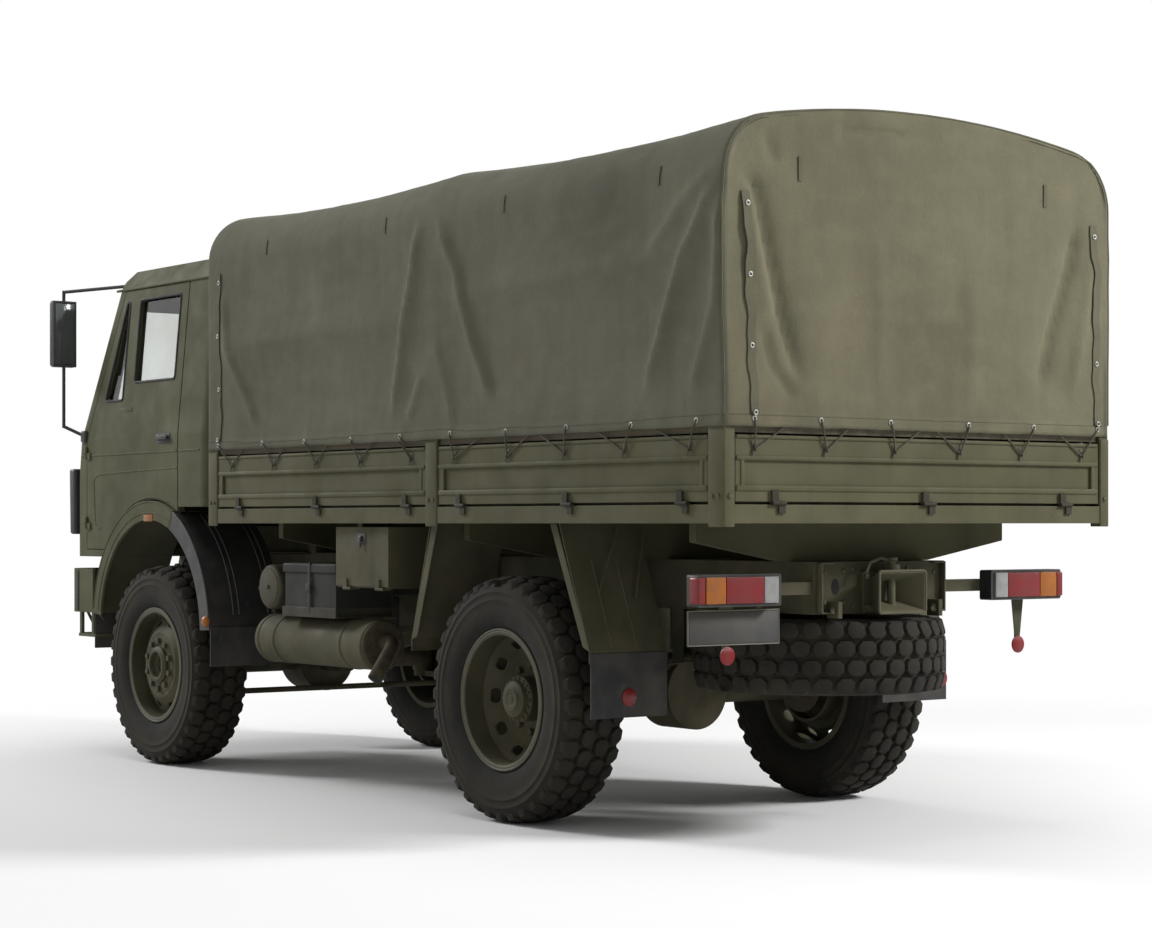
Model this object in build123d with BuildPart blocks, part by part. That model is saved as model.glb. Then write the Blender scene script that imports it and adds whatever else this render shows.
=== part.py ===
"""Four-wheel-drive military cargo truck with a forward-control cab, a drop-side load bed and a canvas cover.

Millimetres. X runs forward, Y to the left, Z up. The origin is on the ground, under the middle of the truck.
"""

import os
from math import cos, radians, sin

from build123d import *

os.makedirs("parts", exist_ok=True)

# The whole truck
WHEELBASE = 3850
REAR_OVERHANG = 1860
FRONT_OVERHANG = 1199
BODY_SETBACK = 860
TRACK = 2040
BODY_WIDTH = 2500
HINGE_PROUD = 21

OVERALL_LENGTH = HINGE_PROUD + REAR_OVERHANG + WHEELBASE + FRONT_OVERHANG
BUMPER_FRONT_X = OVERALL_LENGTH / 2
BODY_REAR_X = -OVERALL_LENGTH / 2 + HINGE_PROUD
REAR_AXLE_X = BODY_REAR_X + REAR_OVERHANG
FRONT_AXLE_X = REAR_AXLE_X + WHEELBASE
BODY_FRONT_X = FRONT_AXLE_X - BODY_SETBACK
BODY_LENGTH = BODY_FRONT_X - BODY_REAR_X
BODY_HALF = BODY_WIDTH / 2

# Clearances between moving panels, round a seated skin, and round a running shaft
PANEL_GAP = 7
SEAT_GAP = 0.3
RUNNING_GAP = 0.1

# Wheels
TYRE_RADIUS = 625
TYRE_WIDTH = 365
FLANGE_RADIUS = 360
RIM_WIDTH = 310
FLANGE_WIDTH = 12
BARREL_RADIUS = 342
BARREL_WALL = 14
DISC_WALL = 14
DRUM_RADIUS = 205
DRUM_WALL = 15
HUB_RADIUS = 115
SPINDLE_RADIUS = 50
SPINDLE_TIP = 60
NUT_COUNT = 10
NUT_CIRCLE = 152
NUT_RADIUS = 19
NUT_HEIGHT = 26
HAND_HOLES = 10
AXLE_Z = TYRE_RADIUS
WHEEL_Y = TRACK / 2
HALF_TYRE = TYRE_WIDTH / 2
LUG_COUNT = 20
LUG_PITCH = 360 / LUG_COUNT
LUG_HEIGHT = 25
TREAD_HALF = HALF_TYRE - 18.5
TREAD_BASE = TYRE_RADIUS - LUG_HEIGHT
LUG_TIP = TYRE_RADIUS / cos(radians(0.22 * LUG_PITCH))
HALF_RIM = RIM_WIDTH / 2
BARREL_INNER = BARREL_RADIUS - BARREL_WALL

# Ladder frame and springs
FRAME_BOTTOM_Z = 1085
FRAME_TOP_Z = 1335
FRAME_NOSE_Z = 1255
FRAME_HALF = 430
RAIL_FLANGE = 80
RAIL_WALL = 10
FRAME_REAR_X = BODY_REAR_X + 330
FRAME_FRONT_X = BUMPER_FRONT_X - 150
REAR_MEMBER = 40
SHACKLE_X = FRAME_REAR_X - 45
SHACKLE_Y = 330
SHACKLE_Z = 1106
SHACKLE_HOLE = 20
MEMBER_WIDTH = 70
SPRING_Y = FRAME_HALF - RAIL_FLANGE / 2
SPRING_WIDTH = 70
SPRING_RADIUS = 1700
SPRING_HALF = 530
SPRING_LEAF = 14
SPRING_LEAVES = 5
SPRING_EYE = 24
PAD_TOP_Z = AXLE_Z + 80

# Axles and steering
AXLE_TUBE = 75
DIFF_RADIUS = 200
DIFF_HALF = 130
PINION_RADIUS = 70
PINION_REACH = 330
KINGPIN_Y = WHEEL_Y - 190
POST_RADIUS = 70
POST_HALF = 100
KINGPIN_RADIUS = 22
KINGPIN_DEPTH = 40
FORK_INNER = 75
FORK_PLATE = 38
FORK_GAP = 1
STEER_ARM = 220
ROD_RADIUS = 18
ROD_EYE = 28
ROD_EYE_HALF = 23
ROD_DROP = 34
BALL_PIN = 12

# Cab tilt pivot and bumper
PIVOT_X = BUMPER_FRONT_X - 65
PIVOT_Z = 1215
PIVOT_RADIUS = 20
PIVOT_BOSS = 28
PIVOT_Y = 400
ARM_HALF = 30
CHEEK = 20
BUMPER_BOTTOM_Z = 931
BUMPER_TOP_Z = 1220
BUMPER_HALF = 1215
BUMPER_WALL = 20
BUMPER_RETURN_X = FRONT_AXLE_X + 822
BUMPER_CORNER = 120
LAMP_Y = 900
LAMP_RADIUS = 85

# Cab
CAB_BACK_X = BODY_FRONT_X + 100
CAB_FRONT_X = BUMPER_FRONT_X - 60
CAB_HALF = 1200
CAB_WALL = 50
CAB_LOW_Z = 1345
BELT_Z = 2070
GUTTER_Z = 3027
GUTTER_HALF = 1112
ROOF_Z = 3232
SCREEN_FOOT = (CAB_FRONT_X - 35, BELT_Z)
SCREEN_HEAD = (CAB_FRONT_X - 460, 3055)
SCREEN_HALF = 975
SCREEN_HEIGHT = 800
GLASS = 6
GLASS_INSET = 20
DOOR_REAR_X = FRONT_AXLE_X - 351
DOOR_FRONT_X = CAB_FRONT_X - 202
DOOR_LOW_Z = 1350
DOOR_REAR_GAP = 12
HINGE_X = DOOR_FRONT_X - 5
HINGE_Y = CAB_HALF + 11
HINGE_RADIUS = 9
DOOR_HINGES_Z = (1480, 1940)
FLOOR_Z = 1660
FLOOR_PLATE = 40
BULKHEAD_X = CAB_FRONT_X - 485
BULKHEAD_WALL = 30
HUMP_HALF = 400
HUMP_TOP_Z = 1880
ARCH_Z = 850
ARCH_OUTER = 810
ARCH_INNER = 690
ARCH_SHEET = 14
ARCH_HALF_OUT = 1222
ARCH_HALF_IN = 720
ARCH_SPLIT = 113.5
STEER_WHEEL_X = CAB_FRONT_X - 905
STEER_WHEEL_Y = 660
STEER_WHEEL_Z = 2350
STEER_WHEEL_RADIUS = 235
COLUMN_TILT = 30

# Load bed
BED_UNDER_Z = 1575
BED_TOP_Z = 1603
BED_RAIL_Z = 1518
BED_RAIL = 60
POST_LENGTH = 112
POST_DEPTH = 60
POST_TOP_Z = 1960
BED_STRETCH = BODY_LENGTH / 4850
MID_POST_X = BODY_REAR_X + 2390 * BED_STRETCH
BEARERS = [reach * BED_STRETCH for reach in (520, 1470, 2420, 3500, 4400)]
BOARD_HINGES = [reach * BED_STRETCH for reach in (289, 1175, 2106, 2622, 3561, 4455)]
BEARER_WALL = 50
BOARD_LOW_Z = 1616
BOARD_TOP_Z = 1916
BOARD_WALL = 34
BOARD_HINGE_Z = 1609
BOARD_HINGE_OUT = 11
KNUCKLE = 10

# Canvas cover
COVER_PROUD = 8
COVER_WALL = 5
COVER_HEM_Z = 1950
COVER_SIDE_Z = 3080
COVER_CORNER = 290
COVER_TURN = 80
BOW = 40


def write(piece, label):
    """Labels one finished piece and writes it as one STEP file."""
    piece.part.label = label
    export_step(piece.part, f"parts/{label}.step")


def slung(reach):
    """An X between the axles, from their middle; pieces hung there stretch with the wheelbase."""
    return (FRONT_AXLE_X + REAR_AXLE_X) / 2 + reach * WHEELBASE / 3850


def side_plane(y):
    """A plane facing sideways at the given Y, drawn in X and Z; a negative amount extrudes towards +Y."""
    return Plane(origin=(0, y, 0), x_dir=(1, 0, 0), z_dir=(0, -1, 0))


def cross_plane(x):
    """A plane facing forward at the given X, drawn in Y and Z."""
    return Plane(origin=(x, 0, 0), x_dir=(0, 1, 0), z_dir=(1, 0, 0))


def level_plane(z):
    """A plane facing up at the given Z, drawn in X and Y."""
    return Plane(origin=(0, 0, z), x_dir=(1, 0, 0), z_dir=(0, 0, 1))


def block(x0, x1, y0, y1, z0, z1):
    """Adds a block between the given limits to the piece being built."""
    with Locations(((x0 + x1) / 2, (y0 + y1) / 2, (z0 + z1) / 2)):
        Box(x1 - x0, y1 - y0, z1 - z0)


def rod(start, end, radius, mode=Mode.ADD):
    """Adds a round bar from one point to another to the piece being built."""
    reach = Vector(*end) - Vector(*start)
    with Locations(Plane(origin=start, z_dir=reach).location):
        Cylinder(radius, reach.length, align=(Align.CENTER, Align.CENTER, Align.MIN), mode=mode)


# Tyre: a many-sided carcass seated between the rim flanges, with a staggered row of lugs on either shoulder.
# The carcass is given by half width and radius, and one lug by its turn in pitches and its radius.
BEAD_HALF = HALF_RIM - FLANGE_WIDTH
CARCASS = [(BEAD_HALF, FLANGE_RADIUS + 6), (HALF_TYRE, 480), (TREAD_HALF, TREAD_BASE - 10)]
LUG_LINE = [(-0.36, TREAD_BASE), (-0.28, LUG_TIP), (0.28, LUG_TIP), (0.36, TREAD_BASE)]
with BuildPart() as tyre:
    for half, radius in [(-half, radius) for half, radius in CARCASS] + CARCASS[::-1]:
        with BuildSketch(Plane.XZ.offset(-half)):
            RegularPolygon(radius, LUG_COUNT)
    loft(ruled=True)
    with BuildSketch(Plane.XZ.offset(-BEAD_HALF)):
        RegularPolygon(BARREL_RADIUS, LUG_COUNT, major_radius=False)
    extrude(amount=2 * BEAD_HALF, mode=Mode.SUBTRACT)
    for side in (1, -1):
        start = 90 + (1 - side) / 4 * LUG_PITCH
        corners = [(radians(start + (lug + turn) * LUG_PITCH), radius)
                   for lug in range(LUG_COUNT) for turn, radius in LUG_LINE]
        with BuildSketch(Plane.XZ):
            with BuildLine():
                Polyline(*[(radius * cos(angle), radius * sin(angle)) for angle, radius in corners], close=True)
            make_face()
            RegularPolygon(500, LUG_COUNT, mode=Mode.SUBTRACT)
        extrude(amount=-side * TREAD_HALF)

# Barrel and flanges shared by every rim, in radius and width
BARREL_LINE = [(BARREL_INNER, -HALF_RIM), (FLANGE_RADIUS, -HALF_RIM), (FLANGE_RADIUS, -BEAD_HALF),
               (BARREL_RADIUS, -BEAD_HALF), (BARREL_RADIUS, BEAD_HALF), (FLANGE_RADIUS, BEAD_HALF),
               (FLANGE_RADIUS, HALF_RIM), (BARREL_INNER, HALF_RIM)]
BORE = SPINDLE_RADIUS + RUNNING_GAP

# Front rim: dished outwards, with a deep open hub, a ring of nuts and a brake drum behind
with BuildPart() as front_rim:
    with BuildSketch(Plane.XY):
        with BuildLine():
            Polyline(*BARREL_LINE, close=True)
        make_face()
        with BuildLine():
            Polyline((BARREL_INNER + 2, 28), (BARREL_INNER + 2, 46), (205, 119), (HUB_RADIUS - 5, 119),
                     (HUB_RADIUS - 5, 105), (200, 105), close=True)
        make_face()
        with BuildLine():
            Polyline((BORE, -75), (HUB_RADIUS, -75), (HUB_RADIUS, -35), (DRUM_RADIUS - DRUM_WALL, -35),
                     (DRUM_RADIUS - DRUM_WALL, -135), (DRUM_RADIUS, -135), (DRUM_RADIUS, -20),
                     (HUB_RADIUS, -20), (HUB_RADIUS, 140), (100, 150), (82, 150), (78, 120), (BORE, 110), close=True)
        make_face()
    revolve(axis=Axis.Y)
    with BuildSketch(Plane.XZ.offset(-200)):
        with PolarLocations(268, HAND_HOLES):
            SlotOverall(70, 38, rotation=90)
    extrude(amount=200, mode=Mode.SUBTRACT)
    with BuildSketch(Plane.XZ.offset(-118)):
        with PolarLocations(NUT_CIRCLE, NUT_COUNT, start_angle=18):
            RegularPolygon(NUT_RADIUS, 6)
    extrude(amount=-NUT_HEIGHT - 1)

# Rear rim: dished deeply inwards round a planetary hub with its own bolted cap
with BuildPart() as rear_rim:
    with BuildSketch(Plane.XY):
        with BuildLine():
            Polyline(*BARREL_LINE, close=True)
        make_face()
        with BuildLine():
            Polyline((BARREL_INNER + 2, 40), (BARREL_INNER + 2, 22), (245, -59), (HUB_RADIUS - 5, -59),
                     (HUB_RADIUS - 5, -45), (250, -45), close=True)
        make_face()
        with BuildLine():
            Polyline((BORE, -75), (DRUM_RADIUS - DRUM_WALL, -75), (DRUM_RADIUS - DRUM_WALL, -150),
                     (DRUM_RADIUS, -150), (DRUM_RADIUS, -58), (HUB_RADIUS, -58), (HUB_RADIUS, 40), (100, 52),
                     (92, 80), (60, 92), (0, 92), (0, SPINDLE_TIP - 30), (BORE, SPINDLE_TIP - 30), close=True)
        make_face()
    revolve(axis=Axis.Y)
    with BuildSketch(Plane.XZ.offset(-200)):
        with PolarLocations(285, HAND_HOLES):
            SlotOverall(76, 40, rotation=90)
    extrude(amount=240, mode=Mode.SUBTRACT)
    with BuildSketch(Plane.XZ.offset(46)):
        with PolarLocations(NUT_CIRCLE + 20, NUT_COUNT, start_angle=18):
            RegularPolygon(NUT_RADIUS, 6)
    extrude(amount=-NUT_HEIGHT - 1)

# Spare rim: a bare front rim, without its hub and drum
with BuildPart() as bare_rim:
    with BuildSketch(Plane.XY):
        with BuildLine():
            Polyline(*BARREL_LINE, close=True)
        make_face()
        with BuildLine():
            Polyline((BARREL_INNER + 2, 28), (BARREL_INNER + 2, 46), (205, 119), (HUB_RADIUS - 10, 119),
                     (HUB_RADIUS - 10, 105), (200, 105), close=True)
        make_face()
    revolve(axis=Axis.Y)
    with BuildSketch(Plane.XZ.offset(-200)):
        with PolarLocations(268, HAND_HOLES):
            SlotOverall(70, 38, rotation=90)
    extrude(amount=200, mode=Mode.SUBTRACT)

# The four road wheels, and the spare slung flat under the tail with its clamp plate and stud
SPARE_X = BODY_REAR_X + 770
SPARE_Z = 876
WHEEL_PLACES = [
    ("front_left", FRONT_AXLE_X, 1, front_rim),
    ("front_right", FRONT_AXLE_X, -1, front_rim),
    ("rear_left", REAR_AXLE_X, 1, rear_rim),
    ("rear_right", REAR_AXLE_X, -1, rear_rim),
]
for corner, axle_x, side, rim in WHEEL_PLACES:
    place = Location((axle_x, side * WHEEL_Y, AXLE_Z), (0, 0, 0 if side > 0 else 180))
    with BuildPart() as placed_tyre:
        with Locations(place):
            add(tyre.part)
    write(placed_tyre, f"tyre_{corner}")
    with BuildPart() as placed_rim:
        with Locations(place):
            add(rim.part)
    write(placed_rim, f"rim_{corner}")
SPARE_PLACE = Location((SPARE_X, 0, SPARE_Z), (-90, 0, 0))
with BuildPart() as spare_tyre:
    with Locations(SPARE_PLACE):
        add(tyre.part)
write(spare_tyre, "spare_tyre")
with BuildPart() as spare_rim:
    with Locations(SPARE_PLACE):
        add(bare_rim.part)
    rod((SPARE_X, 0, SPARE_Z - 134), (SPARE_X, 0, SPARE_Z - 119), 150)
    rod((SPARE_X, 0, SPARE_Z - 130), (SPARE_X, 0, FRAME_BOTTOM_Z + 25), 24)
write(spare_rim, "spare_rim")

# Ladder frame: channel rails, crossmembers, spring hangers, cab pivot cheeks and rear cab rests
MEMBERS_X = [SPARE_X, REAR_AXLE_X, slung(-941), slung(309), FRAME_FRONT_X - 135]
SPRING_ANGLE = SPRING_HALF / SPRING_RADIUS
TOP_LEAF_RADIUS = SPRING_RADIUS - (SPRING_LEAVES - 0.5) * SPRING_LEAF
EYE_X = TOP_LEAF_RADIUS * sin(SPRING_ANGLE)
EYE_Z = PAD_TOP_Z + SPRING_RADIUS - TOP_LEAF_RADIUS * cos(SPRING_ANGLE)
REST_X = CAB_BACK_X + 80
with BuildPart() as ladder_frame:
    with BuildSketch(cross_plane(FRAME_REAR_X)):
        with BuildLine():
            Polyline((FRAME_HALF, FRAME_BOTTOM_Z), (FRAME_HALF, FRAME_TOP_Z),
                     (FRAME_HALF - RAIL_FLANGE, FRAME_TOP_Z), (FRAME_HALF - RAIL_FLANGE, FRAME_TOP_Z - RAIL_WALL),
                     (FRAME_HALF - RAIL_WALL, FRAME_TOP_Z - RAIL_WALL),
                     (FRAME_HALF - RAIL_WALL, FRAME_BOTTOM_Z + RAIL_WALL),
                     (FRAME_HALF - RAIL_FLANGE, FRAME_BOTTOM_Z + RAIL_WALL),
                     (FRAME_HALF - RAIL_FLANGE, FRAME_BOTTOM_Z), close=True)
        make_face()
    extrude(amount=FRAME_FRONT_X - FRAME_REAR_X)
    for axle_x in (FRONT_AXLE_X, REAR_AXLE_X):
        for end in (-1, 1):
            for cheek in (-1, 1):
                cheek_y = SPRING_Y + cheek * (SPRING_WIDTH / 2 + 2.5)
                block(axle_x + end * EYE_X - 45, axle_x + end * EYE_X + 45, cheek_y - 2.5, cheek_y + 2.5,
                      EYE_Z - 34, FRAME_BOTTOM_Z + 2)
    for cheek in (-1, 1):
        cheek_y = PIVOT_Y + cheek * (ARM_HALF + 1 + CHEEK / 2)
        block(FRAME_FRONT_X - 90, BUMPER_FRONT_X - BUMPER_WALL, cheek_y - CHEEK / 2, cheek_y + CHEEK / 2,
              FRAME_BOTTOM_Z + RAIL_WALL - 2, PIVOT_Z + 3)
        rod((PIVOT_X, cheek_y - CHEEK / 2, PIVOT_Z), (PIVOT_X, cheek_y + CHEEK / 2, PIVOT_Z), PIVOT_BOSS)
    rod((PIVOT_X, PIVOT_Y - ARM_HALF - 2, PIVOT_Z), (PIVOT_X, PIVOT_Y + ARM_HALF + 2, PIVOT_Z), PIVOT_RADIUS)
    block(SHACKLE_X - 35, FRAME_REAR_X + 2, SHACKLE_Y - 12.5, SHACKLE_Y + 12.5, SHACKLE_Z - 40, SHACKLE_Z + 40)
    rod((SHACKLE_X, SHACKLE_Y - 20, SHACKLE_Z), (SHACKLE_X, SHACKLE_Y + 20, SHACKLE_Z), SHACKLE_HOLE, Mode.SUBTRACT)
    block(REST_X - 40, REST_X + 40, FRAME_HALF - RAIL_FLANGE, FRAME_HALF, FRAME_TOP_Z - 2,
          FLOOR_Z - FLOOR_PLATE - SEAT_GAP)
    mirror(about=Plane.XZ)
    block(FRAME_REAR_X, FRAME_REAR_X + REAR_MEMBER, -FRAME_HALF, FRAME_HALF, FRAME_BOTTOM_Z, FRAME_TOP_Z)
    for member_x in MEMBERS_X:
        block(member_x - MEMBER_WIDTH / 2, member_x + MEMBER_WIDTH / 2, -FRAME_HALF + 4, FRAME_HALF - 4,
              FRAME_BOTTOM_Z + 25, FRAME_TOP_Z - 25)
    with Locations((FRAME_FRONT_X - 210, 0, FRAME_NOSE_Z + 50)):
        Box(450, 1000, 100, mode=Mode.SUBTRACT)
write(ladder_frame, "ladder_frame")

# Leaf springs: packs of arched leaves, the longest on top with rolled eyes
with BuildPart() as leaf_springs:
    for axle_x in (FRONT_AXLE_X, REAR_AXLE_X):
        arc_middle = (axle_x, PAD_TOP_Z + SPRING_RADIUS)
        for leaf in range(SPRING_LEAVES):
            outer = SPRING_RADIUS - leaf * SPRING_LEAF
            inner = outer - SPRING_LEAF
            turn = SPRING_ANGLE * (0.36 + 0.64 * leaf / (SPRING_LEAVES - 1))
            low_end = (arc_middle[0] + outer * sin(turn), arc_middle[1] - outer * cos(turn))
            low_start = (arc_middle[0] - outer * sin(turn), low_end[1])
            high_end = (arc_middle[0] + inner * sin(turn), arc_middle[1] - inner * cos(turn))
            high_start = (arc_middle[0] - inner * sin(turn), high_end[1])
            with BuildSketch(side_plane(SPRING_Y - SPRING_WIDTH / 2)):
                with BuildLine():
                    ThreePointArc(low_start, (axle_x, arc_middle[1] - outer), low_end)
                    Line(low_end, high_end)
                    ThreePointArc(high_end, (axle_x, arc_middle[1] - inner), high_start)
                    Line(high_start, low_start)
                make_face()
            extrude(amount=-SPRING_WIDTH)
        for end in (-1, 1):
            rod((axle_x + end * EYE_X, SPRING_Y - SPRING_WIDTH / 2, EYE_Z),
                (axle_x + end * EYE_X, SPRING_Y + SPRING_WIDTH / 2, EYE_Z), SPRING_EYE)
        block(axle_x - 60, axle_x + 60, SPRING_Y - SPRING_WIDTH / 2, SPRING_Y + SPRING_WIDTH / 2,
              PAD_TOP_Z, PAD_TOP_Z + SPRING_LEAVES * SPRING_LEAF + 20)
    mirror(about=Plane.XZ)
write(leaf_springs, "leaf_springs")

# Front axle: tube, offset-free differential with its pinion to the rear, and a kingpin post at each end
with BuildPart() as front_axle:
    rod((FRONT_AXLE_X, -KINGPIN_Y, AXLE_Z), (FRONT_AXLE_X, KINGPIN_Y, AXLE_Z), AXLE_TUBE - 5)
    rod((FRONT_AXLE_X - DIFF_HALF, 0, AXLE_Z), (FRONT_AXLE_X + DIFF_HALF, 0, AXLE_Z), DIFF_RADIUS)
    rod((FRONT_AXLE_X - PINION_REACH, 0, AXLE_Z), (FRONT_AXLE_X, 0, AXLE_Z), PINION_RADIUS)
    for side in (-1, 1):
        post_y = side * KINGPIN_Y
        rod((FRONT_AXLE_X, post_y, AXLE_Z - POST_HALF), (FRONT_AXLE_X, post_y, AXLE_Z + POST_HALF), POST_RADIUS)
        for end in (-1, 1):
            rod((FRONT_AXLE_X, post_y, AXLE_Z + end * (POST_HALF - KINGPIN_DEPTH)),
                (FRONT_AXLE_X, post_y, AXLE_Z + end * (POST_HALF + 5)), KINGPIN_RADIUS + RUNNING_GAP, Mode.SUBTRACT)
        pad_y = side * SPRING_Y
        block(FRONT_AXLE_X - 60, FRONT_AXLE_X + 60, pad_y - SPRING_WIDTH / 2, pad_y + SPRING_WIDTH / 2,
              AXLE_Z, PAD_TOP_Z)
write(front_axle, "front_axle")

# Rear axle: tube, differential with its pinion to the front, spindles for the hubs
with BuildPart() as rear_axle:
    rod((REAR_AXLE_X, -WHEEL_Y + 100, AXLE_Z), (REAR_AXLE_X, WHEEL_Y - 100, AXLE_Z), AXLE_TUBE)
    rod((REAR_AXLE_X, -WHEEL_Y - SPINDLE_TIP + 36, AXLE_Z), (REAR_AXLE_X, WHEEL_Y + SPINDLE_TIP - 36, AXLE_Z),
        SPINDLE_RADIUS)
    rod((REAR_AXLE_X - DIFF_HALF, 0, AXLE_Z), (REAR_AXLE_X + DIFF_HALF, 0, AXLE_Z), DIFF_RADIUS)
    rod((REAR_AXLE_X, 0, AXLE_Z), (REAR_AXLE_X + PINION_REACH, 0, AXLE_Z), PINION_RADIUS)
    for side in (-1, 1):
        pad_y = side * SPRING_Y
        block(REAR_AXLE_X - 60, REAR_AXLE_X + 60, pad_y - SPRING_WIDTH / 2, pad_y + SPRING_WIDTH / 2,
              AXLE_Z, PAD_TOP_Z)
        rod((REAR_AXLE_X, side * (WHEEL_Y - 190), AXLE_Z), (REAR_AXLE_X, side * (WHEEL_Y - 170), AXLE_Z), 150)
write(rear_axle, "rear_axle")

# Steering knuckles: a fork over the kingpin post, the spindle outwards and the steering arm to the rear
ARM_Z = AXLE_Z - POST_HALF - FORK_GAP - FORK_PLATE
FORK_HALF = 62
for name, side in (("left", 1), ("right", -1)):
    with BuildPart() as knuckle:
        plate_y = KINGPIN_Y + FORK_INNER
        block(FRONT_AXLE_X - FORK_HALF, FRONT_AXLE_X + FORK_HALF, plate_y, plate_y + FORK_PLATE,
              ARM_Z, 2 * AXLE_Z - ARM_Z)
        for end in (-1, 1):
            arm_low = ARM_Z if end < 0 else AXLE_Z + POST_HALF + FORK_GAP
            block(FRONT_AXLE_X - FORK_HALF, FRONT_AXLE_X + FORK_HALF, KINGPIN_Y, plate_y + 2,
                  arm_low, arm_low + FORK_PLATE)
            rod((FRONT_AXLE_X, KINGPIN_Y, arm_low), (FRONT_AXLE_X, KINGPIN_Y, arm_low + FORK_PLATE), FORK_HALF)
            rod((FRONT_AXLE_X, KINGPIN_Y, AXLE_Z + end * (POST_HALF - KINGPIN_DEPTH + 3)),
                (FRONT_AXLE_X, KINGPIN_Y, AXLE_Z + end * (POST_HALF + 10)), KINGPIN_RADIUS)
        rod((FRONT_AXLE_X, plate_y, AXLE_Z), (FRONT_AXLE_X, WHEEL_Y + SPINDLE_TIP, AXLE_Z), SPINDLE_RADIUS)
        block(FRONT_AXLE_X - STEER_ARM, FRONT_AXLE_X, KINGPIN_Y - 24, KINGPIN_Y + 24, ARM_Z, ARM_Z + FORK_PLATE)
        ball = (FRONT_AXLE_X - STEER_ARM, KINGPIN_Y)
        rod((*ball, ARM_Z), (*ball, ARM_Z + FORK_PLATE), 24)
        rod((*ball, ARM_Z - ROD_DROP - ROD_EYE_HALF), (*ball, ARM_Z + 2), BALL_PIN)
        if side < 0:
            mirror(about=Plane.XZ, mode=Mode.REPLACE)
    write(knuckle, f"knuckle_{name}")

# Tie rod: joins the two steering arms behind the axle, with an eye at each end
with BuildPart() as tie_rod:
    rod_z = ARM_Z - ROD_DROP
    rod((FRONT_AXLE_X - STEER_ARM, -KINGPIN_Y, rod_z), (FRONT_AXLE_X - STEER_ARM, KINGPIN_Y, rod_z), ROD_RADIUS)
    for side in (-1, 1):
        eye = (FRONT_AXLE_X - STEER_ARM, side * KINGPIN_Y)
        rod((*eye, rod_z - ROD_EYE_HALF), (*eye, rod_z + ROD_EYE_HALF), ROD_EYE)
        rod((*eye, rod_z - ROD_EYE_HALF - 5), (*eye, rod_z + ROD_EYE_HALF + 5), BALL_PIN + RUNNING_GAP, Mode.SUBTRACT)
write(tie_rod, "tie_rod")

# Powertrain: engine on two rail mounts, gearbox, transfer case on its crossmember, shafts to both axles
ENGINE_REAR_X = FRONT_AXLE_X - 506
ENGINE_FRONT_X = FRONT_AXLE_X + 594
MOUNT_X = FRONT_AXLE_X + 34
GEARBOX_X = ENGINE_REAR_X - 620
ENGINE_HALF = 300
ENGINE_BOTTOM_Z = 900
CASE_REAR_X = slung(309) - 180
CASE_FRONT_X = slung(309) + 230
SHAFT_Z = 860
with BuildPart() as powertrain:
    block(ENGINE_REAR_X, ENGINE_FRONT_X, -ENGINE_HALF, ENGINE_HALF, ENGINE_BOTTOM_Z, 1500)
    block(ENGINE_REAR_X + 60, ENGINE_FRONT_X - 60, -210, 210, 1500, 1720)
    for side in (-1, 1):
        block(MOUNT_X, MOUNT_X + 120, min(side * 290, side * (FRAME_HALF - RAIL_WALL)),
              max(side * 290, side * (FRAME_HALF - RAIL_WALL)), FRAME_BOTTOM_Z + RAIL_WALL, 1200)
    block(GEARBOX_X, ENGINE_REAR_X + 5, -190, 190, 940, 1320)
    block(CASE_REAR_X, CASE_FRONT_X, -230, 230, 780, 1080)
    block(CASE_REAR_X + 130, CASE_REAR_X + 230, -120, 120, 1070, FRAME_BOTTOM_Z + 25)
    rod((CASE_FRONT_X - 5, 0, 1010), (GEARBOX_X + 10, 0, 1010), 45)
    front_yoke_x = FRONT_AXLE_X - PINION_REACH
    rod((CASE_FRONT_X - 5, 0, SHAFT_Z), (front_yoke_x - 40, 0, AXLE_Z), 45)
    rod((front_yoke_x - 80, 0, AXLE_Z), (front_yoke_x, 0, AXLE_Z), 62)
    rear_yoke_x = REAR_AXLE_X + PINION_REACH
    rod((CASE_REAR_X + 5, 0, SHAFT_Z), (rear_yoke_x + 40, 0, AXLE_Z), 45)
    rod((rear_yoke_x, 0, AXLE_Z), (rear_yoke_x + 80, 0, AXLE_Z), 62)
write(powertrain, "powertrain")

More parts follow.
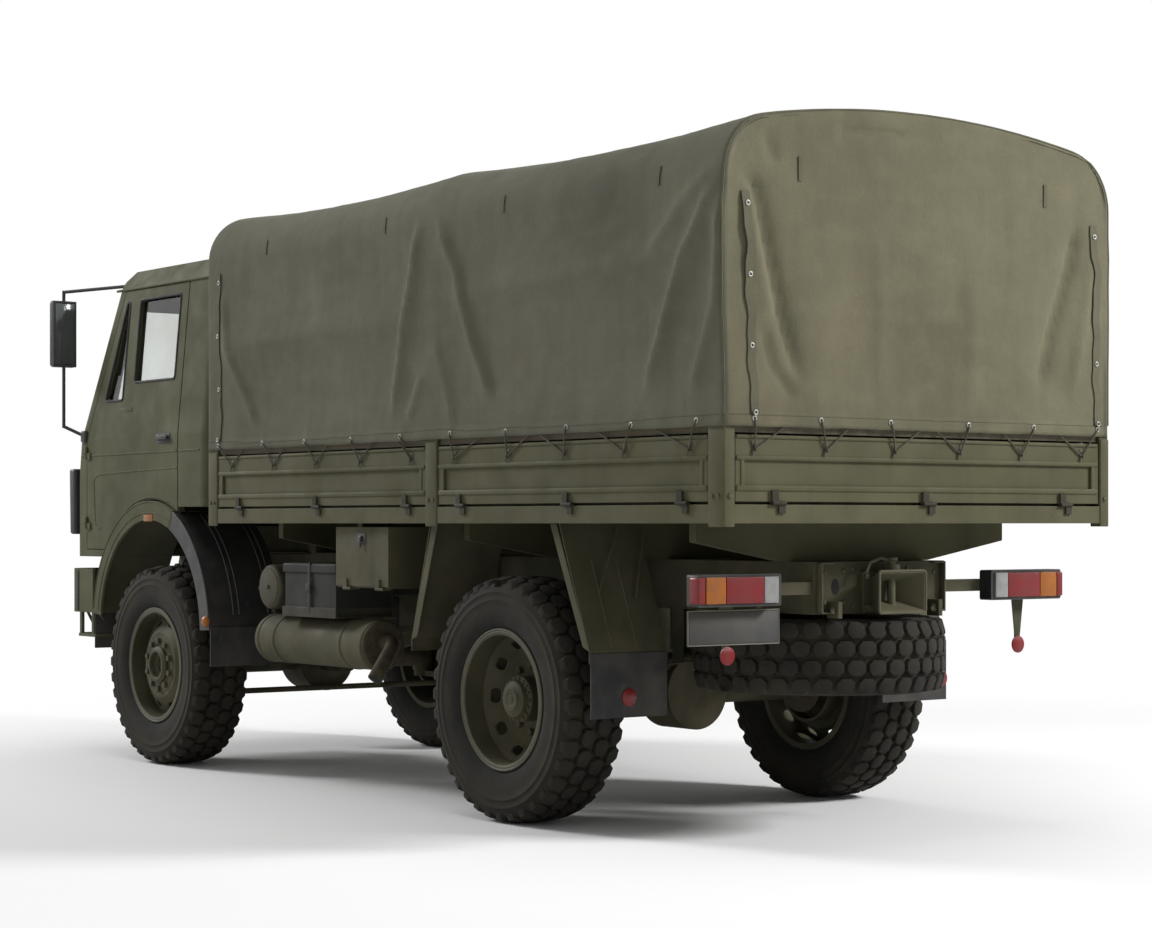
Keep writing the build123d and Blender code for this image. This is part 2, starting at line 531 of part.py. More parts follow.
# Front bumper: a pressed plate wrapped round the corners, with a hanging step on each side
with BuildPart() as front_bumper:
    with BuildSketch(level_plane(BUMPER_BOTTOM_Z)):
        with BuildLine():
            FilletPolyline((BUMPER_RETURN_X, -BUMPER_HALF), (BUMPER_FRONT_X, -BUMPER_HALF),
                           (BUMPER_FRONT_X, BUMPER_HALF), (BUMPER_RETURN_X, BUMPER_HALF), radius=BUMPER_CORNER)
            Line((BUMPER_RETURN_X, BUMPER_HALF), (BUMPER_RETURN_X, BUMPER_HALF - BUMPER_WALL))
            FilletPolyline((BUMPER_RETURN_X, BUMPER_HALF - BUMPER_WALL),
                           (BUMPER_FRONT_X - BUMPER_WALL, BUMPER_HALF - BUMPER_WALL),
                           (BUMPER_FRONT_X - BUMPER_WALL, BUMPER_WALL - BUMPER_HALF),
                           (BUMPER_RETURN_X, BUMPER_WALL - BUMPER_HALF), radius=BUMPER_CORNER - BUMPER_WALL)
            Line((BUMPER_RETURN_X, BUMPER_WALL - BUMPER_HALF), (BUMPER_RETURN_X, -BUMPER_HALF))
        make_face()
    extrude(amount=BUMPER_TOP_Z - BUMPER_BOTTOM_Z)
    for side in (-1, 1):
        with BuildSketch(cross_plane(BUMPER_FRONT_X - 60)):
            with Locations((side * LAMP_Y, (BUMPER_BOTTOM_Z + BUMPER_TOP_Z) / 2)):
                Circle(LAMP_RADIUS)
        extrude(amount=80, mode=Mode.SUBTRACT)
        inner = side * (BUMPER_HALF - 130)
        outer = side * BUMPER_HALF
        skin = side * (BUMPER_HALF - BUMPER_WALL)
        block(BUMPER_FRONT_X - 415, BUMPER_FRONT_X - 165, min(inner, outer), max(inner, outer), 772, 792)
        for hanger_x in (BUMPER_FRONT_X - 390, BUMPER_FRONT_X - 210):
            block(hanger_x, hanger_x + 30, min(skin, outer), max(skin, outer), 780, BUMPER_BOTTOM_Z + 4)
write(front_bumper, "front_bumper")

# Headlamps: round lamps set flush in the bumper
with BuildPart() as headlamps:
    for side in (-1, 1):
        lamp_z = (BUMPER_BOTTOM_Z + BUMPER_TOP_Z) / 2
        rod((BUMPER_FRONT_X - 90, side * LAMP_Y, lamp_z), (BUMPER_FRONT_X - 4, side * LAMP_Y, lamp_z), LAMP_RADIUS)
write(headlamps, "headlamps")

# Fuel tank on the right, held on two brackets from the rail
with BuildPart() as fuel_tank:
    block(slung(-761), slung(419), -1170, -650, 740, 1230)
    fillet(fuel_tank.edges().filter_by(Axis.X), 70)
    for bracket_x in (slung(-601), slung(219)):
        block(bracket_x, bracket_x + 60, -660, -FRAME_HALF, 1100, 1190)
write(fuel_tank, "fuel_tank")

# Muffler on the left, with the pipe from the engine and a bent tail pipe
MUFFLER_Y = 1000
MUFFLER_Z = 838
MUFFLER_RADIUS = 140
MUFFLER_REAR_X = slung(-531)
MUFFLER_FRONT_X = slung(709)
with BuildPart() as muffler:
    rod((MUFFLER_REAR_X, MUFFLER_Y, MUFFLER_Z), (MUFFLER_FRONT_X, MUFFLER_Y, MUFFLER_Z), MUFFLER_RADIUS)
    fillet(muffler.edges(), 18)
    with BuildLine() as front_pipe:
        FilletPolyline((MUFFLER_FRONT_X - 10, MUFFLER_Y, MUFFLER_Z), (MUFFLER_FRONT_X + 100, MUFFLER_Y, MUFFLER_Z),
                       (MUFFLER_FRONT_X + 100, 250, MUFFLER_Z), (ENGINE_REAR_X + 70, 250, MUFFLER_Z),
                       (ENGINE_REAR_X + 70, 250, ENGINE_BOTTOM_Z), radius=50)
    with BuildSketch(Plane(origin=(MUFFLER_FRONT_X - 10, MUFFLER_Y, MUFFLER_Z), z_dir=(1, 0, 0))):
        Circle(40)
    sweep(path=front_pipe.line)
    with BuildLine() as tail_pipe:
        FilletPolyline((MUFFLER_REAR_X + 10, MUFFLER_Y, MUFFLER_Z + 20),
                       (MUFFLER_REAR_X - 110, MUFFLER_Y, MUFFLER_Z + 20),
                       (MUFFLER_REAR_X - 140, MUFFLER_Y + 150, MUFFLER_Z - 175), radius=80)
    with BuildSketch(Plane(origin=(MUFFLER_REAR_X + 10, MUFFLER_Y, MUFFLER_Z + 20), z_dir=(-1, 0, 0))):
        Circle(42)
    sweep(path=tail_pipe.line)
    for strap_x in (slung(-301), slung(449)):
        block(strap_x, strap_x + 40, FRAME_HALF - 30, 905, 900, 930)
        block(strap_x, strap_x + 40, FRAME_HALF - 30, FRAME_HALF, 900, FRAME_BOTTOM_Z)
write(muffler, "muffler")

# Battery box on the left: a lidded box standing in its tray on the rail
TRAY_REAR_X = slung(-286)
TRAY_FRONT_X = slung(314)
with BuildPart() as battery_box:
    block(TRAY_REAR_X + 15, TRAY_FRONT_X - 15, 785, 1158, 990, 1240)
    block(TRAY_REAR_X + 3, TRAY_FRONT_X - 3, 785, 1168, 1240, 1290)
    fillet(battery_box.faces().sort_by(Axis.Z)[-1].edges(), 14)
    block(TRAY_REAR_X, TRAY_FRONT_X, 780, 1170, 984, 996)
    block(TRAY_REAR_X, TRAY_FRONT_X, 1156, 1170, 984, 1040)
    block(TRAY_REAR_X, TRAY_FRONT_X, 780, 792, 984, 1180)
    for bracket_x in (TRAY_REAR_X + 55, TRAY_FRONT_X - 115):
        block(bracket_x, bracket_x + 60, FRAME_HALF, 790, 1110, 1180)
write(battery_box, "battery_box")

# Air drum lying across the truck behind the battery box
DRUM_X = slung(509)
with BuildPart() as air_drum:
    rod((DRUM_X, 640, 1146), (DRUM_X, 1150, 1146), 130)
    fillet(air_drum.edges(), 22)
    block(DRUM_X - 35, DRUM_X + 35, FRAME_HALF, 650, 1110, 1180)
write(air_drum, "air_drum")

# Tool locker: an open-fronted box under the bed, with a lid hinged at its foot
LOCKER_X0 = slung(-890)
LOCKER_X1 = slung(-341)
LOCKER_Z0 = 1164
LOCKER_Z1 = 1498
LOCKER_BACK = 800
LOCKER_FRONT = 1188
LOCKER_WALL = 8
LID_HINGE_Y = 1206
LID_HINGE_Z = LOCKER_Z0 - 4
LID_WALL = 10
with BuildPart() as tool_locker:
    block(LOCKER_X0, LOCKER_X1, LOCKER_BACK, LOCKER_FRONT, LOCKER_Z0, LOCKER_Z1)
    with Locations(((LOCKER_X0 + LOCKER_X1) / 2, (LOCKER_BACK + LOCKER_FRONT) / 2 + LOCKER_WALL,
                    (LOCKER_Z0 + LOCKER_Z1) / 2)):
        Box(LOCKER_X1 - LOCKER_X0 - 2 * LOCKER_WALL, LOCKER_FRONT - LOCKER_BACK,
            LOCKER_Z1 - LOCKER_Z0 - 2 * LOCKER_WALL, mode=Mode.SUBTRACT)
    for bracket_x in (LOCKER_X0 + 49, LOCKER_X1 - 120):
        block(bracket_x, bracket_x + 60, FRAME_HALF, LOCKER_BACK, 1200, 1290)
    for knuckle_x in (LOCKER_X0 + 79, LOCKER_X1 - 130):
        block(knuckle_x - 40, knuckle_x, LOCKER_FRONT - 40, LID_HINGE_Y, LID_HINGE_Z - 6, LOCKER_Z0)
        rod((knuckle_x - 40, LID_HINGE_Y, LID_HINGE_Z), (knuckle_x, LID_HINGE_Y, LID_HINGE_Z), 8)
write(tool_locker, "tool_locker")
with BuildPart() as locker_lid:
    block(LOCKER_X0, LOCKER_X1, LOCKER_FRONT + 1, LOCKER_FRONT + 1 + LID_WALL, LOCKER_Z0 + 8, LOCKER_Z1)
    for knuckle_x in (LOCKER_X0 + 79, LOCKER_X1 - 130):
        block(knuckle_x + SEAT_GAP, knuckle_x + 40, LOCKER_FRONT + 1 + LID_WALL - 2, LID_HINGE_Y + 4,
              LID_HINGE_Z, LOCKER_Z0 + 50)
        rod((knuckle_x + SEAT_GAP, LID_HINGE_Y, LID_HINGE_Z), (knuckle_x + 40, LID_HINGE_Y, LID_HINGE_Z), 8)
write(locker_lid, "locker_lid")

# Front mudguards behind the front wheels: an arched sheet with an outer flange, and a hanging tail
guard_top = radians(ARCH_SPLIT + 0.6)
with BuildPart() as front_mudguards:
    for inner, near in ((ARCH_OUTER - ARCH_SHEET, ARCH_HALF_IN), (ARCH_INNER, ARCH_HALF_OUT - ARCH_SHEET)):
        with BuildSketch(side_plane(near)):
            with Locations((FRONT_AXLE_X, ARCH_Z)):
                Circle(ARCH_OUTER)
                Circle(inner, mode=Mode.SUBTRACT)
            with BuildLine():
                Polyline((FRONT_AXLE_X, ARCH_Z),
                         (FRONT_AXLE_X + 1500 * cos(guard_top), ARCH_Z + 1500 * sin(guard_top)),
                         (FRONT_AXLE_X - 1500, ARCH_Z + 1500), (FRONT_AXLE_X - 1500, ARCH_Z + 40), close=True)
            make_face(mode=Mode.INTERSECT)
        extrude(amount=near - ARCH_HALF_OUT)
    for back, bracket_z in ((770, 1092), (640, 1325)):
        block(FRONT_AXLE_X - back - 30, FRONT_AXLE_X - back + 30, FRAME_HALF, ARCH_HALF_IN + 4,
              bracket_z, bracket_z + 6)
    mirror(about=Plane.XZ)
write(front_mudguards, "front_mudguards")

# Rear mudguards: a sloping sheet before and behind each rear wheel, with a stiffening flange outside
GUARD_IN = 712
GUARD_OUT = BODY_HALF - BED_RAIL
GUARD_WALL = 6
GUARD_FLANGE = 55
GUARD_LINES = [((REAR_AXLE_X - 504, BED_UNDER_Z), (REAR_AXLE_X - 775, 900), 1),
               ((REAR_AXLE_X + 618, BED_UNDER_Z), (REAR_AXLE_X + 817, 900), -1)]
with BuildPart() as rear_mudguards:
    for head, foot, inward in GUARD_LINES:
        drop_z = foot[1] - 60
        with BuildSketch(side_plane(GUARD_IN)):
            with BuildLine():
                Polyline(head, foot, (foot[0], drop_z), (foot[0] + inward * GUARD_WALL, drop_z),
                         (foot[0] + inward * GUARD_WALL, foot[1]), (head[0] + inward * GUARD_WALL, head[1]),
                         close=True)
            make_face()
        extrude(amount=GUARD_IN - GUARD_OUT)
        with BuildSketch(side_plane(GUARD_OUT - GUARD_WALL)):
            with BuildLine():
                Polyline((head[0] + inward * 2, head[1] - 60), (foot[0] + inward * 2, foot[1]),
                         (foot[0] + inward * GUARD_FLANGE, foot[1] + 20),
                         (head[0] + inward * GUARD_FLANGE, head[1] - 60), close=True)
            make_face()
        extrude(amount=-GUARD_WALL)
    mirror(about=Plane.XZ)
write(rear_mudguards, "rear_mudguards")

# Mud flaps: rubber sheets hung behind the front and rear wheels
with BuildPart() as mud_flaps:
    flap_x = GUARD_LINES[0][1][0]
    block(flap_x - 8, flap_x, GUARD_IN + 10, GUARD_OUT - 4, 575, 890)
    guard_x = FRONT_AXLE_X - ARCH_OUTER
    block(guard_x - 8, guard_x, ARCH_HALF_IN + 10, ARCH_HALF_OUT - 6, 652, ARCH_Z + 39.5)
    mirror(about=Plane.XZ)
write(mud_flaps, "mud_flaps")

# Tow jaw: a flared mouth on the rear crossmember with a dropped pin
JAW_X = FRAME_REAR_X - 160
JAW_Z = 1190
with BuildPart() as tow_jaw:
    with BuildSketch(cross_plane(FRAME_REAR_X - 24)):
        with Locations((0, JAW_Z)):
            Rectangle(170, 130)
    with BuildSketch(cross_plane(JAW_X)):
        with Locations((0, JAW_Z)):
            Rectangle(310, 205)
    loft()
    with BuildSketch(cross_plane(FRAME_REAR_X - 44)):
        with Locations((0, JAW_Z)):
            Rectangle(120, 84)
    with BuildSketch(cross_plane(JAW_X - 1)):
        with Locations((0, JAW_Z)):
            Rectangle(286, 181)
    loft(mode=Mode.SUBTRACT)
    block(FRAME_REAR_X - 24, FRAME_REAR_X, -130, 130, JAW_Z - 95, JAW_Z + 95)
    rod((FRAME_REAR_X - 80, 0, JAW_Z - 96), (FRAME_REAR_X - 80, 0, JAW_Z + 150), 20)
    rod((FRAME_REAR_X - 80, 0, JAW_Z + 80), (FRAME_REAR_X - 80, 0, JAW_Z + 130), 42)
write(tow_jaw, "tow_jaw")

# Lamp brackets with the blank number plate, and the tail lamps they carry
TAIL_LAMP_X = BODY_REAR_X + 340
with BuildPart() as lamp_brackets:
    block(TAIL_LAMP_X, TAIL_LAMP_X + 30, FRAME_HALF, 1120, 1180, 1240)
    block(TAIL_LAMP_X, TAIL_LAMP_X + 10, 945, 975, 880, 1190)
    mirror(about=Plane.XZ)
    block(TAIL_LAMP_X, TAIL_LAMP_X + 10, 740, 770, 950, 1190)
    block(TAIL_LAMP_X - 6, TAIL_LAMP_X, 640, 1190, 955, 1118)
write(lamp_brackets, "lamp_brackets")
with BuildPart() as tail_lamps:
    block(TAIL_LAMP_X - 80, TAIL_LAMP_X, 690, 1190, 1135, 1285)
    fillet(tail_lamps.edges().filter_by(Axis.X), 12)
    mirror(about=Plane.XZ)
write(tail_lamps, "tail_lamps")

# Bed frame: tapered cross bearers on the ladder frame, inside an outer ring of rails
with BuildPart() as bed_frame:
    block(BODY_REAR_X, BODY_FRONT_X, -BODY_HALF, BODY_HALF, BED_RAIL_Z, BED_TOP_Z)
    with Locations(((BODY_REAR_X + BODY_FRONT_X) / 2, 0, (BED_RAIL_Z + BED_TOP_Z) / 2)):
        Box(BODY_LENGTH - 2 * BED_RAIL, BODY_WIDTH - 2 * BED_RAIL, 200, mode=Mode.SUBTRACT)
    for bearer in BEARERS:
        with BuildSketch(cross_plane(BODY_REAR_X + bearer - BEARER_WALL / 2)):
            with BuildLine():
                Polyline((-BODY_HALF + 40, BED_UNDER_Z), (-BODY_HALF + 40, BED_RAIL_Z + 4), (-1010, BED_RAIL_Z + 4),
                         (-1010, 1430), (-480, FRAME_TOP_Z), (480, FRAME_TOP_Z), (1010, 1430), (1010, BED_RAIL_Z + 4),
                         (BODY_HALF - 40, BED_RAIL_Z + 4), (BODY_HALF - 40, BED_UNDER_Z), close=True)
            make_face()
        extrude(amount=BEARER_WALL)
    for hinge_x in BOARD_HINGES:
        for side in (-1, 1):
            hinge_y = side * (BODY_HALF + BOARD_HINGE_OUT)
            wall_y = side * (BODY_HALF - 4)
            block(BODY_REAR_X + hinge_x - 40, BODY_REAR_X + hinge_x, min(wall_y, hinge_y), max(wall_y, hinge_y),
                  BED_TOP_Z - 40, BOARD_HINGE_Z)
            rod((BODY_REAR_X + hinge_x - 40, hinge_y, BOARD_HINGE_Z), (BODY_REAR_X + hinge_x, hinge_y, BOARD_HINGE_Z),
                KNUCKLE)
    for hinge_y in (-938, 0, 938):
        block(BODY_REAR_X - BOARD_HINGE_OUT, BODY_REAR_X + 4, hinge_y - 40, hinge_y, BED_TOP_Z - 40, BOARD_HINGE_Z)
        rod((BODY_REAR_X - BOARD_HINGE_OUT, hinge_y - 40, BOARD_HINGE_Z),
            (BODY_REAR_X - BOARD_HINGE_OUT, hinge_y, BOARD_HINGE_Z), KNUCKLE)
write(bed_frame, "bed_frame")
with BuildPart() as bed_floor:
    block(BODY_REAR_X + BED_RAIL, BODY_FRONT_X - BED_RAIL, -BODY_HALF + BED_RAIL, BODY_HALF - BED_RAIL,
          BED_UNDER_Z, BED_TOP_Z)
write(bed_floor, "bed_floor")

# Posts: corner and middle stakes standing on the rails, the front pair joined by the headboard
POSTS_X = [BODY_REAR_X, MID_POST_X - POST_LENGTH / 2, BODY_FRONT_X - POST_LENGTH]
with BuildPart() as bed_posts:
    for post_x in POSTS_X:
        block(post_x, post_x + POST_LENGTH, BODY_HALF - POST_DEPTH, BODY_HALF, BED_TOP_Z, POST_TOP_Z)
    mirror(about=Plane.XZ)
    block(BODY_FRONT_X - 40, BODY_FRONT_X, POST_DEPTH - BODY_HALF, BODY_HALF - POST_DEPTH, BED_TOP_Z, POST_TOP_Z)
write(bed_posts, "bed_posts")

# Side boards and tailgate: ribbed panels that drop on hinges along their lower edge
BANDS = [(BOARD_LOW_Z, 1681), (1804, BOARD_TOP_Z)]
RECESS = 10
BAYS = [("rear", POSTS_X[0] + POST_LENGTH, POSTS_X[1], BOARD_HINGES[:3]),
        ("front", POSTS_X[1] + POST_LENGTH, POSTS_X[2], BOARD_HINGES[3:])]
for bay, bay_x0, bay_x1, hinge_list in BAYS:
    for name, side in (("left", 1), ("right", -1)):
        with BuildPart() as board:
            block(bay_x0 + PANEL_GAP, bay_x1 - PANEL_GAP, BODY_HALF - BOARD_WALL, BODY_HALF - RECESS - 4,
                  BOARD_LOW_Z, BOARD_TOP_Z)
            for band_z0, band_z1 in BANDS:
                block(bay_x0 + PANEL_GAP, bay_x1 - PANEL_GAP, BODY_HALF - RECESS - 6, BODY_HALF - 4, band_z0, band_z1)
            for end_x in (bay_x0 + PANEL_GAP, bay_x1 - PANEL_GAP - 50):
                block(end_x, end_x + 50, BODY_HALF - RECESS - 6, BODY_HALF - 4, BOARD_LOW_Z, BOARD_TOP_Z)
            for hinge_x in hinge_list:
                start = BODY_REAR_X + hinge_x + SEAT_GAP
                block(start, start + 40, BODY_HALF - 6, BODY_HALF + BOARD_HINGE_OUT, BOARD_HINGE_Z, BOARD_LOW_Z + 50)
                rod((start, BODY_HALF + BOARD_HINGE_OUT, BOARD_HINGE_Z),
                    (start + 40, BODY_HALF + BOARD_HINGE_OUT, BOARD_HINGE_Z), KNUCKLE)
            if side < 0:
                mirror(about=Plane.XZ, mode=Mode.REPLACE)
        write(board, f"side_board_{bay}_{name}")
GATE_HALF = BODY_HALF - POST_DEPTH - PANEL_GAP
with BuildPart() as tailgate:
    block(BODY_REAR_X + RECESS + 4, BODY_REAR_X + BOARD_WALL, -GATE_HALF, GATE_HALF, BOARD_LOW_Z, BOARD_TOP_Z)
    for band_z0, band_z1 in BANDS:
        block(BODY_REAR_X + 4, BODY_REAR_X + RECESS + 6, -GATE_HALF, GATE_HALF, band_z0, band_z1)
    for end_y in (-GATE_HALF, GATE_HALF - 50):
        block(BODY_REAR_X + 4, BODY_REAR_X + RECESS + 6, end_y, end_y + 50, BOARD_LOW_Z, BOARD_TOP_Z)
    for hinge_y in (-938, 0, 938):
        start = hinge_y + SEAT_GAP
        block(BODY_REAR_X - BOARD_HINGE_OUT, BODY_REAR_X + 6, start, start + 40, BOARD_HINGE_Z, BOARD_LOW_Z + 50)
        rod((BODY_REAR_X - BOARD_HINGE_OUT, start, BOARD_HINGE_Z),
            (BODY_REAR_X - BOARD_HINGE_OUT, start + 40, BOARD_HINGE_Z), KNUCKLE)
write(tailgate, "tailgate")

# Slats: one loose board per bay between the posts, just above the side boards
with BuildPart() as side_slats:
    for bay, bay_x0, bay_x1, hinge_list in BAYS:
        block(bay_x0, bay_x1, BODY_HALF - 45, BODY_HALF - 20, BOARD_TOP_Z + 9, BOARD_TOP_Z + 130)
    mirror(about=Plane.XZ)
write(side_slats, "side_slats")


def cover_face(inset, low_z):
    """The arched end face of the cover, set in by the given amount, down to the given height."""
    half = BODY_HALF + COVER_PROUD - inset
    corner = COVER_CORNER - inset
    middle_y = BODY_HALF + COVER_PROUD - COVER_CORNER
    turn = radians(COVER_TURN)
    reach = middle_y / cos(turn)
    roof_z = COVER_SIDE_Z - reach * sin(turn) + reach + corner
    bend = (middle_y + corner * cos(turn / 2), COVER_SIDE_Z + corner * sin(turn / 2))
    shoulder = (middle_y + corner * cos(turn), COVER_SIDE_Z + corner * sin(turn))
    with BuildSketch() as end_face:
        with BuildLine():
            Line((half, low_z), (half, COVER_SIDE_Z))
            ThreePointArc((half, COVER_SIDE_Z), bend, shoulder)
            ThreePointArc(shoulder, (0, roof_z), (-shoulder[0], shoulder[1]))
            ThreePointArc((-shoulder[0], shoulder[1]), (-bend[0], bend[1]), (-half, COVER_SIDE_Z))
            Line((-half, COVER_SIDE_Z), (-half, low_z))
            Line((-half, low_z), (half, low_z))
        make_face()
    return end_face.sketch


# Canvas cover: an arched skin closed at both ends and open below, over three bows on the posts
BOWS_X = [BODY_REAR_X + 4, MID_POST_X - BOW / 2, BODY_FRONT_X - BOW - 4]
with BuildPart() as canopy_bows:
    for bow_x in BOWS_X:
        with BuildSketch(cross_plane(bow_x)):
            add(cover_face(COVER_WALL + SEAT_GAP, POST_TOP_Z))
            add(cover_face(COVER_WALL + SEAT_GAP + BOW, POST_TOP_Z - 10), mode=Mode.SUBTRACT)
        extrude(amount=BOW)
write(canopy_bows, "canopy_bows")
with BuildPart() as canopy:
    with BuildSketch(cross_plane(BODY_REAR_X - COVER_PROUD)):
        add(cover_face(0, COVER_HEM_Z))
    extrude(amount=BODY_LENGTH + 2 * COVER_PROUD)
    with BuildSketch(cross_plane(BODY_REAR_X - COVER_PROUD + COVER_WALL)):
        add(cover_face(COVER_WALL, COVER_HEM_Z - 10))
    extrude(amount=BODY_LENGTH + 2 * COVER_PROUD - 2 * COVER_WALL, mode=Mode.SUBTRACT)
write(canopy, "canopy")


CAB_SIDE = [(CAB_BACK_X, 1290), (CAB_BACK_X, 3090), (CAB_BACK_X + 110, ROOF_Z + 6),
            (CAB_FRONT_X - 615, ROOF_Z - 6),
            SCREEN_HEAD, SCREEN_FOOT, (CAB_FRONT_X, 1830), (CAB_FRONT_X, 1290)]


def cab_volume(inset, corner):
    """The cab's closed outer form, set in by the given amount, with rounded upright corners."""
    with BuildPart() as form:
        with BuildSketch(side_plane(1400)):
            with BuildLine():
                Polyline(*CAB_SIDE, close=True)
            make_face()
            if inset:
                offset(amount=-inset, kind=Kind.INTERSECTION, mode=Mode.REPLACE)
        extrude(amount=2800)
        with BuildSketch(cross_plane(0)):
            with BuildLine():
                Polyline((-1010, 3160), (-GUTTER_HALF, GUTTER_Z), (-CAB_HALF, BELT_Z), (-CAB_HALF, 1290),
                         (CAB_HALF, 1290), (CAB_HALF, BELT_Z), (GUTTER_HALF, GUTTER_Z), (1010, 3160))
                ThreePointArc((1010, 3160), (0, ROOF_Z), (-1010, 3160))
            make_face()
            if inset:
                offset(amount=-inset, kind=Kind.INTERSECTION, mode=Mode.REPLACE)
        extrude(amount=BUMPER_FRONT_X + 535, mode=Mode.INTERSECT)
        uprights = [edge for edge in form.edges()
                    if abs(edge.center().Y) > 1000 and abs((edge @ 0).Z - (edge @ 1).Z) > 150
                    and (edge.center().X > CAB_FRONT_X - 405 or edge.center().X < CAB_BACK_X + inset + 1)]
        fillet(uprights, corner)
    return form.part


# Cab shell: the outer form less the inner one; every panel below is a piece of it
cab_outer = cab_volume(0, 110)
cab_inner = cab_volume(CAB_WALL, 70)
with BuildPart() as cab_shell:
    add(cab_outer)
    add(cab_inner, mode=Mode.SUBTRACT)
SCREEN_RAKE = (SCREEN_HEAD[0] - SCREEN_FOOT[0]) / (SCREEN_HEAD[1] - SCREEN_FOOT[1])
DOOR_TOP_Z = GUTTER_Z - PANEL_GAP
DOOR_HEAD_X = DOOR_FRONT_X + SCREEN_RAKE * (DOOR_TOP_Z - BELT_Z)
PILLAR_FOOT_X = DOOR_FRONT_X + PANEL_GAP
PILLAR_HEAD_X = PILLAR_FOOT_X + SCREEN_RAKE * (GUTTER_Z - BELT_Z)
SCREEN_PLANE = Plane(origin=((SCREEN_FOOT[0] + SCREEN_HEAD[0]) / 2, 0, (SCREEN_FOOT[1] + SCREEN_HEAD[1]) / 2),
                     x_dir=(0, 1, 0), z_dir=(1, 0, -SCREEN_RAKE))

# Cab front: nose panel and windscreen pillars, with the door hinges' fixed halves
with BuildPart() as cab_front:
    add(cab_shell.part)
    with BuildSketch(side_plane(1400)):
        with BuildLine():
            Polyline((PILLAR_FOOT_X, CAB_LOW_Z), (PILLAR_FOOT_X, BELT_Z), (PILLAR_HEAD_X, GUTTER_Z),
                     (CAB_FRONT_X + 595, GUTTER_Z), (CAB_FRONT_X + 595, CAB_LOW_Z), close=True)
        make_face()
    extrude(amount=2800, mode=Mode.INTERSECT)
    with BuildSketch(SCREEN_PLANE):
        RectangleRounded(2 * SCREEN_HALF, SCREEN_HEIGHT, 70)
    extrude(amount=250, both=True, mode=Mode.SUBTRACT)
    for hinge_z in DOOR_HINGES_Z:
        for side in (-1, 1):
            near = side * (CAB_HALF - 3)
            clear = side * (CAB_HALF + 1)
            out = side * HINGE_Y
            low_z = hinge_z + 40 + SEAT_GAP
            block(HINGE_X + 12, HINGE_X + 62, min(near, out), max(near, out), low_z, hinge_z + 80)
            block(HINGE_X, HINGE_X + 14, min(clear + side, out), max(clear + side, out), low_z, hinge_z + 80)
            rod((HINGE_X, out, low_z), (HINGE_X, out, hinge_z + 80), HINGE_RADIUS)
write(cab_front, "cab_front")

# Windscreen: one flat pane seated in the slanted opening
with BuildPart() as windscreen:
    with BuildSketch(SCREEN_PLANE.offset(-GLASS_INSET)):
        RectangleRounded(2 * SCREEN_HALF, SCREEN_HEIGHT, 70)
    extrude(amount=-GLASS)
write(windscreen, "windscreen")

# Cab back: rear wall and rear quarters in one wrap, standing on the floor
with BuildPart() as cab_back:
    add(cab_shell.part)
    block_x1 = DOOR_REAR_X - DOOR_REAR_GAP
    with Locations(((CAB_BACK_X + block_x1) / 2, 0, (FLOOR_Z + GUTTER_Z) / 2)):
        Box(block_x1 - CAB_BACK_X, 2 * CAB_HALF, GUTTER_Z - FLOOR_Z, mode=Mode.INTERSECT)
write(cab_back, "cab_back")

# Cab roof: the crowned top above the gutter
with BuildPart() as cab_roof:
    add(cab_shell.part)
    with Locations(((CAB_BACK_X + CAB_FRONT_X) / 2, 0, GUTTER_Z + 200)):
        Box(3000, 3000, 400, mode=Mode.INTERSECT)
write(cab_roof, "cab_roof")

# Doors: the shell between the pillars, cut round the wheel arch, with a main window and a quarter light
MAIN_WINDOW = [(DOOR_REAR_X + 95, 2420), (DOOR_FRONT_X - 631, 2420), (DOOR_FRONT_X - 631, 2952),
               (DOOR_REAR_X + 95, 2952)]
QUARTER_LIGHT = [(DOOR_FRONT_X - 483, 2312), (DOOR_FRONT_X - 225, 2312), (DOOR_FRONT_X - 445, 2948),
                 (DOOR_FRONT_X - 483, 2948)]
with BuildPart() as window_prism:
    for outline in (MAIN_WINDOW, QUARTER_LIGHT):
        with BuildSketch(side_plane(1400)):
            with BuildLine():
                Polyline(*outline, close=True)
            pane = make_face()
            fillet(pane.vertices(), 22)
        extrude(amount=900)
glass_front = cab_volume(GLASS_INSET, 95)
glass_back = cab_volume(GLASS_INSET + GLASS, 90)
for name, side in (("left", 1), ("right", -1)):
    with BuildPart() as door:
        add(cab_shell.part)
        with BuildSketch(side_plane(1400)):
            with BuildLine():
                Polyline((DOOR_REAR_X, DOOR_LOW_Z), (DOOR_FRONT_X, DOOR_LOW_Z), (DOOR_FRONT_X, BELT_Z),
                         (DOOR_HEAD_X, DOOR_TOP_Z), (DOOR_REAR_X, DOOR_TOP_Z), close=True)
            make_face()
            with Locations((FRONT_AXLE_X, ARCH_Z)):
                Circle(ARCH_OUTER + 9, mode=Mode.SUBTRACT)
        extrude(amount=900, mode=Mode.INTERSECT)
        add(window_prism.part, mode=Mode.SUBTRACT)
        for hinge_z in DOOR_HINGES_Z:
            block(HINGE_X - 55, HINGE_X, CAB_HALF - 3, HINGE_Y, hinge_z, hinge_z + 40)
            rod((HINGE_X, HINGE_Y, hinge_z), (HINGE_X, HINGE_Y, hinge_z + 40), HINGE_RADIUS)
        if side < 0:
            mirror(about=Plane.XZ, mode=Mode.REPLACE)
    write(door, f"door_{name}")
    with BuildPart() as door_glass:
        add(glass_front)
        add(glass_back, mode=Mode.SUBTRACT)
        add(window_prism.part, mode=Mode.INTERSECT)
        if side < 0:
            mirror(about=Plane.XZ, mode=Mode.REPLACE)
    write(door_glass, f"door_glass_{name}")

